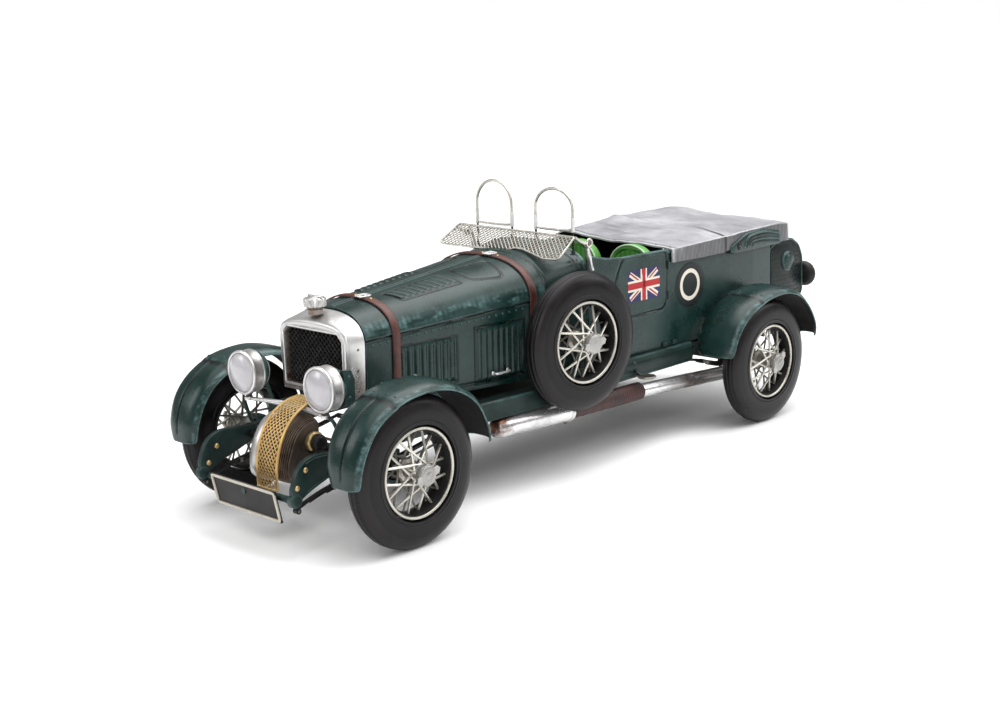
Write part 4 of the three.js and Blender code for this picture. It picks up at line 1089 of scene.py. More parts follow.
def flag_outlines(y0, y1, z0, z1):
    """Crosses of a national flag: plain blue ground, diagonals, then the upright cross, as convex shapes."""
    size = np.array([y1 - y0, z1 - z0])

    def at(*pairs):
        return [(y0 + a * size[0], z0 + b * size[1]) for a, b in pairs]

    def strip(a0, b0, a1, b1, width):
        p, q = np.array([a0, b0], dtype=float) * size, np.array([a1, b1], dtype=float) * size
        along = (q - p) / np.linalg.norm(q - p)
        side = np.array([-along[1], along[0]]) * width / 2
        return [tuple(np.array([y0, z0]) + c) for c in (p - side, q - side, q + side, p + side)]

    ground = [at((i / 6, 0), ((i + 1) / 6, 0), ((i + 1) / 6, 1), (i / 6, 1)) for i in range(6)]
    white = [strip(0.07, 0.1, 0.93, 0.9, 2.8), strip(0.07, 0.9, 0.93, 0.1, 2.8)]
    thin_red = [strip(0.08, 0.08, 0.92, 0.92, 0.9), strip(0.08, 0.92, 0.92, 0.08, 0.9)]
    broad = [at((0, 0.33), (0.5, 0.33), (0.5, 0.67), (0, 0.67)), at((0.5, 0.33), (1, 0.33), (1, 0.67), (0.5, 0.67)),
             at((0.4, 0), (0.6, 0), (0.6, 1), (0.4, 1))]
    red = [at((0, 0.4), (0.5, 0.4), (0.5, 0.6), (0, 0.6)), at((0.5, 0.4), (1, 0.4), (1, 0.6), (0.5, 0.6)),
           at((0.44, 0), (0.56, 0), (0.56, 1), (0.44, 1))]
    return ground, white, thin_red, broad, red


for side, sign in (("left", 1), ("right", -1)):
    ground, white, thin_red, broad, red = flag_outlines(*FLAG)
    decal(f"door_flag_{side}", sign, [
        (0.04, FLAG_BLUE, ground), (0.07, CREAM, white), (0.1, FLAG_RED, thin_red), (0.13, CREAM, broad), (0.16, FLAG_RED, red),
    ])

# --- radiator --------------------------------------------------------------------------------------

RADIATOR_FRONT = (box("radiator_shell")[0] - ORIGIN)[1]
RADIATOR_REAR = (box("radiator_shell")[1] - ORIGIN)[1]
RADIATOR_HALF = 25.5


def shell_outline(inset, bottom=62.0, count=96):
    """Upright sides under a crowned top, from the right bottom corner round to the left one."""
    half = RADIATOR_HALF - inset
    angle = np.linspace(-math.pi / 2, math.pi / 2, count)
    x = half * np.sign(np.sin(angle)) * np.abs(np.sin(angle)) ** 0.76
    z = 86 + (16 - inset) * np.abs(np.cos(angle)) ** 0.76
    sides = np.linspace(bottom + inset, 86, 14, endpoint=False)
    lean = half - 1.4 * (1 - (sides - bottom) / (86 - bottom))
    base = np.linspace(half - 1.4, -(half - 1.4), 24)[1:-1]
    right = np.stack([-lean, sides], axis=-1)
    left = np.stack([lean, sides], axis=-1)[::-1]
    return np.concatenate([right, np.stack([x, z], axis=-1), left, np.stack([base, 0 * base + bottom + inset], axis=-1)])


def opening_outline(spread, like):
    """The core opening, read off in the directions of the points of another outline."""
    middle = np.array([0.0, 80.0])
    half, low, high = 21.4 + spread, 66.0 - spread, 93.0 + spread
    points = []
    for p in like:
        d = p - middle
        limits = [half / max(abs(d[0]), 1e-6)]
        limits.append(((high if d[1] > 0 else low) - middle[1]) / d[1] if abs(d[1]) > 1e-6 else 1e6)
        diagonal = (abs(d[0]) + d[1]) / math.sqrt(2)
        if diagonal > 0:
            limits.append(((half + high - middle[1] - 3.4) / math.sqrt(2)) / diagonal)
        points.append(middle + d * min(limits))
    return np.array(points)


outer_line = shell_outline(0)
inner_line = opening_outline(0, outer_line)
shell_profile = [
    (0, RADIATOR_REAR), (0, RADIATOR_FRONT + 2.4), (0.02, RADIATOR_FRONT + 1.2), (0.1, RADIATOR_FRONT + 0.75),
    (0.5, RADIATOR_FRONT + 0.45), (0.72, RADIATOR_FRONT + 0.5), (0.86, RADIATOR_FRONT + 0.8), (0.95, RADIATOR_FRONT + 1.5),
    (1, RADIATOR_FRONT + 2.6), (1, RADIATOR_REAR - 0.6), (0.97, RADIATOR_REAR), (0.5, RADIATOR_REAR),
]
rings, darker_low_and_inner = [], []
for share, y in shell_profile:
    line = inner_line + (outer_line - inner_line) * share
    ahead = np.clip((RADIATOR_REAR - y) / (RADIATOR_REAR - RADIATOR_FRONT), 0, 1)
    line[:, 1] -= 4.2 * ahead * np.clip((line[:, 1] - 93.5) / 8.5, 0, 1)
    rings.append(np.stack([line[:, 0], np.full(len(line), y), line[:, 1]], axis=-1))
    # Darker towards the bottom of the shell and on the lip of the opening.
    darker_low_and_inner.append(0.75 * (1 - step(line[:, 1], 64, 82)) + 0.6 * (share < 0.05))
shell = Build()
shell.grid(np.array(rings), SILVER, wrap_rows=True, wrap_columns=True, soil_and_shade=np.clip(darker_low_and_inner, 0, 1))
bead_line = opening_outline(0.7, outer_line)
shell.tube(np.stack([bead_line[:, 0], 0 * bead_line[:, 0] + RADIATOR_FRONT + 0.75, bead_line[:, 1]], axis=-1), 0.65, SILVER, 10, closed=True, wear_and_sheen=1)
for side in (-1, 1):
    for z in (66, 76, 86):
        lean = RADIATOR_HALF - 1.4 * (1 - (min(z, 86) - 62) / 24)
        shell.rivet((side * (lean - 0.15), RADIATOR_REAR - 4.2, z), (side, 0, 0), 0.75, STEEL, 0.35)
shell.piece("radiator_surround", "chassis", ["radiator_shell"], "aged_silver", sharp=50)

core = Build()
u = np.linspace(-21, 21, 211)[None, :]
v = np.linspace(66.4, 92.6, 133)[:, None]
cell = 1.5
a, b = (u + v) / cell, (u - v) / cell
pit = np.minimum(np.abs(np.sin(a * math.pi / 2)), np.abs(np.sin(b * math.pi / 2)))
depth = 1.3 * step(pit, 0.12, 0.5)
x = np.clip(u + 0 * v, -21 + np.maximum(v - 88.6, 0), 21 - np.maximum(v - 88.6, 0))
front = np.stack([x, RADIATOR_FRONT + 2.9 + depth, v + 0 * u], axis=-1)
back = np.stack([x, RADIATOR_REAR - 0.4 + 0 * depth, v + 0 * u], axis=-1)
core.sheet(front, back, CORE, wear_and_sheen=1 - step(pit, 0.05, 0.3))
core.piece("honeycomb_core", "chassis", ["radiator_core"], "black_parts", sharp=30)

cap = Build()
CAP_AT = centre("radiator_cap") - ORIGIN
cap_base = box("radiator_cap")[0][2]
cap_profile = [
    (0.05, -1.6), (3.6, -1.6), (3.6, 0.7), (3.2, 1.0), (3.2, 1.7), (5.0, 2.0), (5.5, 2.4), (5.5, 5.6), (5.1, 6.1),
    (4.3, 6.3), (4.1, 6.0), (3.6, 6.2), (2.0, 6.9), (0.05, 7.1),
]
angle = np.linspace(0, 2 * math.pi, 144, endpoint=False)
rings = []
for r, t in cap_profile:
    notch = 0.4 * (np.cos(angle * 14) > 0.2) if 4.9 < r < 5.6 and t < 6 else 0
    rings.append(np.stack([(r - notch) * np.cos(angle), (r - notch) * np.sin(angle), np.full(144, t)], axis=-1))
cap.grid(np.array(rings) + [CAP_AT[0], CAP_AT[1], cap_base], SILVER, wrap_columns=True, soil_and_shade=np.repeat([0.9, 0.9, 0.8, 0.8, 0.8, 0.5] + [0.15] * 8, 144))
for lean in (-1, 1):
    cap.tube([(lean * 1.0, CAP_AT[1], cap_base + 6.6), (lean * 4.9, CAP_AT[1] + 0.4, cap_base + 6.9)], 0.7, SILVER, 8)
cap.piece("filler_cap", "chassis", ["radiator_cap"], "aged_silver", sharp=40)

# --- headlamps and their bar -----------------------------------------------------------------------

LAMP = np.array([28.8, -157.0, 72.8])
drum = [
    (9.3, -3.7), (9.5, -4.5), (10.1, -4.75), (10.75, -4.4), (10.85, -3.6), (10.5, -3.0), (10.3, -2.6), (10.3, 1.4),
    (10.55, 1.7), (10.55, 2.3), (10.1, 2.6), (9.2, 2.5), (9.2, -3.4),
]
bowl = [(9.9, 2.3), (9.3, 4.6), (8.0, 6.6), (6.0, 8.3), (3.6, 9.3), (2.4, 9.5), (2.2, 9.9), (0.05, 10)]
dome = [(9.35, -3.95), (9.3, -4.4), (8.6, -5.0), (7.2, -5.7), (5.3, -6.35), (3.0, -6.85), (1.2, -7.05), (0.05, -7.1)]
back_of_lens = [(0.05, -4.0), (9.35, -3.95)]
for side, sign in (("left", 1), ("right", -1)):
    at = LAMP * [sign, 1, 1]
    lamp = Build()
    lamp.lathe(drum + drum[:1], "y", at, SILVER, 72, soil_and_shade=[0, 0, 0, 0, 0.3, 0.6, 0.3, 0.1, 0.4, 0.2, 0.5, 0, 0, 0])
    lamp.lathe(bowl + [(0.05, 2.0), (9.9, 2.3)], "y", at, GREEN, 60)
    for clip_angle in (90, 210, 330):
        a = math.radians(clip_angle)
        lamp.rivet(at + [10.4 * math.cos(a), -3.4, 10.4 * math.sin(a)], (math.cos(a), 0, math.sin(a)), 0.7, SILVER, 0.5)
    out = 1 if sign > 0 else -1
    lamp.prism([(-153.5, 65), (-147.6, 66), (-147.2, 76), (-149, 81), (-153.5, 81.5)], "yz",
               *sorted((at[0] + out * 6.6, at[0] + out * 9.0)), GREEN_DARK)
    for z in (68.5, 78):
        lamp.rivet((at[0] + out * 9.0, -150.5, z), (out, 0, 0), 0.9, GREEN, 0.5)
    lamp.tube([at + [0, -0.6, -9.6], at + [0, -0.8, -11.7]], 1.55, STEEL, 16)
    lamp.piece(f"headlamp_shell_{side}", "chassis", [f"headlamp_{side}"], "aged_silver", sharp=35, bevel=0.1)
    glass = Build()
    glass.lathe(back_of_lens[:1] + back_of_lens[1:] + dome[1:], "y", at, LENS, 72)
    glass.piece(f"headlamp_glass_{side}", "chassis", [f"headlamp_lens_{side}"], "lamp_lens", sharp=60)

lamp_bar = Build()
path = smooth_path([(-24, -157.6, 59.9), (-12, -154.6, 59.6), (0, -151.6, 59.2), (12, -154.6, 59.6), (24, -157.6, 59.9)], 60)
reach = np.abs(path[:, 0]) / 24
lamp_bar.tube(path, 1.5 - 0.5 * reach, SILVER, 16, soil_and_shade=0.6 * bell(path[:, 0], 6))
for sign in (-1, 1):
    run = [(sign * 23, -157.4, 59.8), (sign * 31, -157.8, 59.7), (sign * 33.4, -157.2, 57.6), (sign * 34.4, -154.8, 51), (sign * 34.9, -152.8, 46.6)]
    lamp_bar.tube(smooth_path(run[1:], 26), 0.95, GREEN_DARK, 12)
    lamp_bar.tube([run[0], run[1]], 0.95, SILVER, 12)
    lamp_bar.lathe([(0.05, -0.9), (2.0, -0.9), (2.2, 0), (2.0, 0.8), (0.05, 0.8)], "z", (sign * 28.8, -158, 59.9), SILVER, 24)
lamp_bar.piece("headlamp_bar", "chassis", ["lamp_bar"], "aged_silver")

# --- blower, its stone guard and the number plate --------------------------------------------------

CASING = [(-147, 22), (-160, 22), (-171.5, 27), (-171.5, 36), (-169, 45), (-163, 53), (-155, 57), (-147, 57)]


def rounded_loop(corners, radius, steps=6):
    """The polygon's outline with its corners rounded off."""
    corners = np.asarray(corners, dtype=float)
    points = []
    for i, p in enumerate(corners):
        a, b = corners[i - 1] - p, corners[(i + 1) % len(corners)] - p
        cut = min(radius, np.linalg.norm(a) * 0.45, np.linalg.norm(b) * 0.45)
        start, end = p + a / np.linalg.norm(a) * cut, p + b / np.linalg.norm(b) * cut
        for t in np.linspace(0, 1, steps):
            points.append((1 - t) ** 2 * start + 2 * t * (1 - t) * p + t**2 * end)
    return np.array(points)


def shrunk(outline, amount):
    middle = outline.mean(axis=0)
    d = outline - middle
    return middle + d * (1 - amount / np.linalg.norm(d, axis=1))[:, None]


blower = Build()
loop = rounded_loop(CASING, 4)
rings = []
for x, inset in ((-8.2, 2.2), (-8.6, 0.6), (-9.4, 0.3), (-13.2, 0.5), (-14.4, 1.2), (-15.0, 2.8)):
    line = shrunk(loop, inset)
    rings.append(np.stack([np.full(len(line), x), line[:, 0], line[:, 1]], axis=-1))
blower.grid(np.array(rings), SILVER, wrap_columns=True, cap=True, soil_and_shade=np.repeat([0.9, 0.4, 0.1, 0.1, 0.25, 0.45], len(loop)))
for k in range(6, len(loop) - 14, 5):
    p = shrunk(loop, 1.6)[k]
    blower.rivet((-14.2, p[0], p[1]), (-1, 0, 0), 0.8, SILVER, 0.6)
for z, y in ((33, -165), (43, -162), (50, -156)):
    blower.rivet((-14.9, y, z), (-1, 0, 0), 1.2, SILVER, 0.7)
rings = []
for x, inset in ((-8.4, 3), (1.0, 3)):
    line = shrunk(loop, inset)
    rings.append(np.stack([np.full(len(line), x), line[:, 0], line[:, 1]], axis=-1))
blower.grid(np.array(rings), BLACK, wrap_columns=True, cap=True)
fin_line = shrunk(loop, 1.6)
FINS = 10
for k in range(FINS):
    x = 2.2 + k * 1.12
    line = shrunk(fin_line, 0.16 * max(0, k - 4) ** 1.5)
    rings = []
    for dx, inset in ((-0.42, 1.2), (-0.34, 0.2), (0.0, 0.0), (0.34, 0.2), (0.42, 1.2)):
        ring_line = shrunk(line, inset)
        rings.append(np.stack([np.full(len(line), x + dx), ring_line[:, 0], ring_line[:, 1]], axis=-1))
    blower.grid(np.array(rings), BRONZE, wrap_columns=True, cap=True, wear_and_sheen=0.8 * np.repeat([0, 0.5, 1, 0.5, 0], len(line)))
rings = []
for x, inset in ((1.0, 3), (11.4, 3.6), (12.4, 5), (12.8, 7)):
    line = shrunk(fin_line, inset)
    rings.append(np.stack([np.full(len(line), x), line[:, 0], line[:, 1]], axis=-1))
blower.grid(np.array(rings), BRONZE, wrap_columns=True, cap=True, soil_and_shade=0.5 * np.ones(len(rings) * len(fin_line)))
boss = [(0.05, 12.6), (4.6, 12.6), (4.9, 13.2), (4.9, 14.8), (4.5, 15.6), (4.1, 15.8), (0.05, 15.8)]
knob = [(0.05, 15), (3.7, 15.2), (3.9, 15.9), (3.9, 18), (3.5, 19), (2.6, 19.5), (1.2, 19.7), (0.05, 19.75)]
blower.lathe(boss, "x", (0, -153.5, 44.6), BRASS, 48)
blower.lathe(knob, "x", (0, -153.5, 44.6), BLACK, 40)
blower.tube([(-33, -155, 40.4), (33, -155, 40.4)], 1.6, BLACK, 20)
blower.piece("blower_and_casing", "chassis", ["blower_casing"], "aged_silver", sharp=40)

GUARD = np.array([
    (0, -147.5, 63.4, -4.4, 9.6), (0, -156, 61.8, -4.4, 10.8), (0, -165, 56.8, -4.2, 11.8), (0, -171.4, 48, -4, 12.2),
    (0, -174.6, 37, -3.8, 12), (0, -175, 25, -3.6, 11.6),
])
guard_path = smooth_path(GUARD, 240)
guard_tangent = np.gradient(guard_path[:, :3], axis=0)
guard_tangent /= np.linalg.norm(guard_tangent, axis=1)[:, None]
guard_length = np.linalg.norm(np.diff(guard_path[:, :3], axis=0), axis=1).sum()


def on_guard(share, along, depth):
    """share runs from 0 at the right edge to 1 at the left; along is a distance from the top in millimetres."""
    i = np.clip(along / guard_length, 0, 1) * (len(guard_path) - 1)
    cells = np.arange(len(guard_path))
    y, z, left, right = (np.interp(i, cells, guard_path[:, k]) for k in (1, 2, 3, 4))
    ty, tz = (np.interp(i, cells, guard_tangent[:, k]) for k in (1, 2))
    bow = 0.5 * (1 - (2 * share - 1) ** 2)
    x = left + (right - left) * share
    return np.stack([x, y - tz * (depth - bow), z + ty * (depth - bow)], axis=-1)


guard = Build()
GUARD_WIDE = 15.4
PITCH = 2.9
for lean in (-1, 1):
    for start in np.arange(-GUARD_WIDE * 1.25, guard_length, PITCH):
        share = np.linspace(0.02, 0.98, 15)
        along = start + (share if lean > 0 else 1 - share) * GUARD_WIDE * 1.25
        keep = (along > 0.3) & (along < guard_length - 0.3)
        if keep.sum() < 3:
            continue
        guard.tube(on_guard(share[keep], along[keep], 0.62 + 0.14 * lean), 0.27, GOLD, 6)
for share in (0.0, 1.0):
    along = np.linspace(0, guard_length, 90)
    line = on_guard(np.full(90, share), along, 0.55)
    line[:, 0] += (0.6 if share < 0.5 else -0.6)
    guard.sweep(line, rounded_section(0.75, 0.42, 0.25), GOLD)
for along in (0.5, guard_length - 0.5):
    share = np.linspace(0, 1, 12)
    guard.tube(on_guard(share, np.full(12, along), 0.6), 0.55, GOLD, 8)
guard.piece("stone_guard_mesh", "chassis", ["blower_guard"], "guard_metal", sharp=50)

plate = Build()
PLATE_HALF = 24.2
FRONT_FACE = np.array([(-186.2, 30.1), (-183.1, 14.7)])
lean = np.array([(-0.98), 0.2])


def on_plate(x, up, out):
    """up runs from 0 at the bottom of the plate to 1 at its top."""
    y = FRONT_FACE[1][0] + (FRONT_FACE[0][0] - FRONT_FACE[1][0]) * up + 0.98 * out
    z = FRONT_FACE[1][1] + (FRONT_FACE[0][1] - FRONT_FACE[1][1]) * up + 0.2 * out
    return np.stack([x, y, z], axis=-1)


x = np.linspace(-PLATE_HALF, PLATE_HALF, 90)[None, :] * np.ones((34, 1))
up = np.linspace(0, 1, 34)[:, None] * np.ones(90)
from_edge = np.minimum(PLATE_HALF - np.abs(x), np.minimum(up, 1 - up) * 15.9)
recess = 0.28 * step(from_edge, 1.3, 1.55)
wave = 0.22 * np.sin(x * 0.27 + 1) * (1 - up)
plate.sheet(on_plate(x, up, recess + 0.1), on_plate(x, up, 1.1 + 0 * recess), BLACK)
edge_line = []
for a, b in (((-1, 0), (1, 0)), ((1, 0), (1, 1)), ((1, 1), (-1, 1)), ((-1, 1), (-1, 0))):
    for t in np.linspace(0.02, 0.98, 24):
        px, pu = a[0] + (b[0] - a[0]) * t, a[1] + (b[1] - a[1]) * t
        edge_line.append((px * (PLATE_HALF - 0.75), 0.05 + 0.9 * pu))
edge_line = np.array(edge_line)
plate.tube(on_plate(edge_line[:, 0], edge_line[:, 1], np.full(len(edge_line), 0.35)), 0.8, CREAM, 8, closed=True, soil_and_shade=0.4)
plate.tube([(-33, -180.6, 26), (33, -180.6, 26)], 1.6, GREEN_DARK, 20)
plate.tube([(0, -185.4, 26), (0, -181, 26)], 1.5, GREEN_DARK, 12)
plate.piece("blank_number_plate", "chassis", ["number_plate"], "black_parts", sharp=45)

# --- chassis rails, springs and axles --------------------------------------------------------------

# y, centre z, half height
RAIL = [
    (-184.6, 29, 4.2), (-180.6, 34.6, 7.4), (-173, 38.4, 7.6), (-162, 40, 5.6), (-150, 41.6, 3.9), (-120, 44, 4), (-60, 44.4, 4),
    (20, 44.7, 4), (100, 45, 4), (178.6, 46, 3.2),
]
rail_path = smooth_path([(34.9, y, z, half) for y, z, half in RAIL], 130)
for side, sign in (("left", 1), ("right", -1)):
    build = Build()
    mirror = [sign, 1, 1]
    rings = []
    for y, z, half in rail_path[:, 1:]:
        section = rounded_section(1.45, half, 0.5)
        rings.append([(34.9 + a, y, z + b) for a, b in section])
    build.grid(np.array(rings) * mirror, GREEN_DARK, wrap_columns=True, cap=True)
    for offset in (-0.82, 0.82):
        line = rail_path[:, :3] + np.stack([0 * rail_path[:, 3] + 1.35, 0 * rail_path[:, 3], offset * rail_path[:, 3]], axis=-1)
        build.tube(line[4:-2] * mirror, 0.32, GREEN_DARK, 8, wear_and_sheen=0.5)
    tip = rail_path[0, :3]
    eye = [(0.05, -1.9), (2.9, -1.9), (3.3, -1.5), (3.3, 1.2), (2.7, 1.7), (1.6, 1.8), (0.05, 1.8)]
    build.lathe([(r, sign * t) for r, t in eye], "x", np.array([35.1, -183.0, 27.6]) * mirror, GREEN_DARK, 32)
    for y, z in ((-182.2, 33.4), (-177.0, 40.6)):
        build.rivet(np.array([36.2, y, z]) * mirror, (sign, 0, 0), 1.4, BRASS, 1.0, 5, 18)
        build.rivet(np.array([33.6, y + 2, z - 1.6]) * mirror, (-sign, 0, 0), 1.4, BRASS, 1.0, 5, 18)
    for y in np.arange(-112, 170, 9.5):
        build.rivet(np.array([36.3, y, np.interp(y, [-120, 100], [44, 45])]) * mirror, (sign, 0, 0), 0.6, GREEN_DARK, 0.4)
    build.piece(f"frame_rail_{side}", "chassis", [f"chassis_rail_{side}"], "chassis_paint", sharp=45)


def leaf_spring(build, line, leaves, clip_at, sign):
    """Stacked leaves, each shorter than the one above, with rolled eyes and clips."""
    path = smooth_path([(34.9, y, z) for y, z in line], 100)
    length = np.linspace(0, 1, 100)
    for k in range(leaves):
        keep = np.abs(length - clip_at) < (1.0, 0.42, 0.3, 0.19)[k]
        part = path[keep] * [sign, 1, 1] + [0, 0, 1.1 - 0.74 * k]
        build.sweep(part, rounded_section(1.4, 0.33, 0.15), BLACK, wear_and_sheen=np.full(len(part), 0.25))
    for end in (path[0], path[-1]):
        eye = [(0.7, -1.45), (1.35, -1.45), (1.35, 1.45), (0.7, 1.45)]
        build.lathe(eye + eye[:1], "x", (end + [0, 0, 0.1]) * [sign, 1, 1], BLACK, 24)
        build.tube([(end + [-1.5, 0, 0.1]) * [sign, 1, 1], (end + [1.5, 0, 0.1]) * [sign, 1, 1]], 0.72, STEEL, 12)
    for share in (clip_at - 0.24, clip_at + 0.24):
        p = path[int(np.clip(share, 0.05, 0.95) * 99)] * [sign, 1, 1]
        build.prism([(p[1] - 0.8, p[2] - 0.9), (p[1] + 0.8, p[2] - 0.9), (p[1] + 0.8, p[2] + 1.4), (p[1] - 0.8, p[2] + 1.4)],
                    "yz", p[0] - 1.5, p[0] + 1.5, STEEL)


FRONT_SPRING = [(-182, 22.6), (-171, 26.4), (-156, 29.4), (-138, 31.4), (-128, 31.8), (-112, 34.4), (-98, 37)]
REAR_SPRING = [(96, 39.4), (115, 35.4), (138, 30.4), (161, 35.4), (178, 40.4)]
for side, sign in (("left", 1), ("right", -1)):
    build = Build()
    leaf_spring(build, FRONT_SPRING, 4, 0.5, sign)
    build.piece(f"leaf_spring_front_{side}", "chassis", [f"front_spring_{side}"], "black_parts", sharp=40)

axle = Build()
beam = smooth_path([(-48, FRONT_Y, 35.7), (-30, FRONT_Y, 35.7), (0, FRONT_Y, 35.7), (30, FRONT_Y, 35.7), (48, FRONT_Y, 35.7)], 60)
i_section = [(-2.3, -2.2), (2.3, -2.2), (2.3, -1.5), (0.8, -1.1), (0.8, 1.1), (2.3, 1.5), (2.3, 2.2), (-2.3, 2.2), (-2.3, 1.5), (-0.8, 1.1), (-0.8, -1.1), (-2.3, -1.5)]
axle.prism([(FRONT_Y + a, 35.7 + b) for a, b in i_section], "yz", -47.8, 47.8, GREEN_DARK)
for sign in (-1, 1):
    web = rounded_section(2.3, 8, 0.6)
    axle.prism([(FRONT_Y + a, 36 + b) for a, b in web], "yz", *sorted((sign * 46.2, sign * 48.5)), GREEN_DARK)
    for low, high in ((28.1, 30.0), (42.0, 43.9)):
        outline = rounded_section(3.4, 2.35, 1.6)
        axle.prism([(sign * 50.5 + a, FRONT_Y + b) for a, b in outline], "xy", low, high, GREEN_DARK)
    for z in (28.0, 43.2):
        axle.rivet((sign * 52, FRONT_Y, z + (0.8 if z > 40 else 0.2)), (0, 0, 1 if z > 40 else -1), 1.3, STEEL, 0.4)
axle.piece("front_axle_beam", "chassis", ["front_axle"], "chassis_paint", sharp=40, bevel=0.15)

axle = Build()
axle.tube([(-54, REAR_Y, AXLE_Z), (54, REAR_Y, AXLE_Z)], 3.7, BLACK, 28)
axle.tube([(-71.9, REAR_Y, AXLE_Z), (71.9, REAR_Y, AXLE_Z)], 2.1, STEEL, 20)
nose = [(0.05, -9.4), (3.5, -9.2), (6.4, -7.6), (8.6, -4.6), (9.3, -1.6), (9.4, -0.5), (9.9, -0.4), (9.9, 0.4), (9.4, 0.5), (9.3, 1.6), (8.6, 4.6), (6.4, 7.6), (3.5, 9.2), (0.05, 9.4)]
axle.lathe(nose, "x", (0, REAR_Y, AXLE_Z), BLACK, 48)
for k in range(10):
    a = 2 * math.pi * k / 10
    axle.rivet((0.4, REAR_Y + 8.9 * math.cos(a), AXLE_Z + 8.9 * math.sin(a)), (1, 0, 0), 0.6, STEEL, 0.5)
for sign in (-1, 1):
    leaf_spring(axle, REAR_SPRING, 4, 0.5, sign)
    seat_block = rounded_section(3.8, 2.6, 0.8)
    axle.prism([(REAR_Y + a, 33.0 + b) for a, b in seat_block], "yz", *sorted((sign * 33.5, sign * 36.3)), BLACK)
    for y in (-3.4, 3.4):
        axle.tube([(sign * 34.9, REAR_Y + y, 28.6), (sign * 34.9, REAR_Y + y, 36.5)], 0.6, STEEL, 10)
axle.piece("rear_axle_and_springs", "chassis", ["rear_axle"], "black_parts", sharp=40)

for side, sign in (("left", 1), ("right", -1)):
    build = Build()
    barrel = [(0.05, 30.6), (2.1, 30.6), (2.35, 30.9), (2.35, 32.4), (2.0, 32.8), (2.0, 39.2), (2.35, 39.6), (2.35, 41.1), (2.1, 41.4), (0.05, 41.4)]
    build.lathe(barrel, "z", (sign * 52, FRONT_Y, 0), BLACK, 28)
    build.tube([(sign * 52, FRONT_Y, AXLE_Z), (sign * 57, FRONT_Y, AXLE_Z), (sign * 71.9, FRONT_Y, AXLE_Z)], [2.2, 2.15, 2.1], STEEL, 20)
    build.prism([(sign * 52 + a, FRONT_Y + 5.2 + b) for a, b in rounded_section(1.3, 5.3, 1.0) + [-sign * 1.1, 0]], "xy", 33.95, 35.35, BLACK)
    build.piece(f"stub_axle_and_arm_{side}", f"stub_axle_{side}", [f"stub_axle_{side}"], "black_parts", sharp=40)

rod = Build()
rod_y = (centre("tie_rod") - ORIGIN)[1]
rod.tube([(-50.8, rod_y, 36.6), (50.8, rod_y, 36.6)], 0.75, STEEL, 14)
for sign in (-1, 1):
    rod.lathe([(0.05, -0.85), (1.0, -0.85), (1.2, 0), (1.0, 0.85), (0.05, 0.85)], "z", (sign * 51.1, rod_y, 36.6), BLACK, 20)
rod.piece("track_rod", "tie_rod", ["tie_rod"], "black_parts", sharp=40)

floor_panel = Build()
x = np.linspace(-32.8, 32.8, 67)[None, :] * np.ones((120, 1))
y = np.linspace(-95.8, 176.8, 120)[:, None] * np.ones(67)
rib = 0.18 * (np.abs(((y + 95) / 12) % 1 - 0.5) < 0.16) + 0.12 * bell(np.abs(x) - 11, 0.8)
floor_panel.sheet(np.stack([x, y, 48.2 + rib], axis=-1), np.stack([x, y, 47.3 + rib * 0.6], axis=-1), BLACK)
floor_panel.piece("ribbed_floor_pan", "chassis", ["floor_pan"], "black_parts", sharp=50)

# --- sills, step plates and exhaust ----------------------------------------------------------------

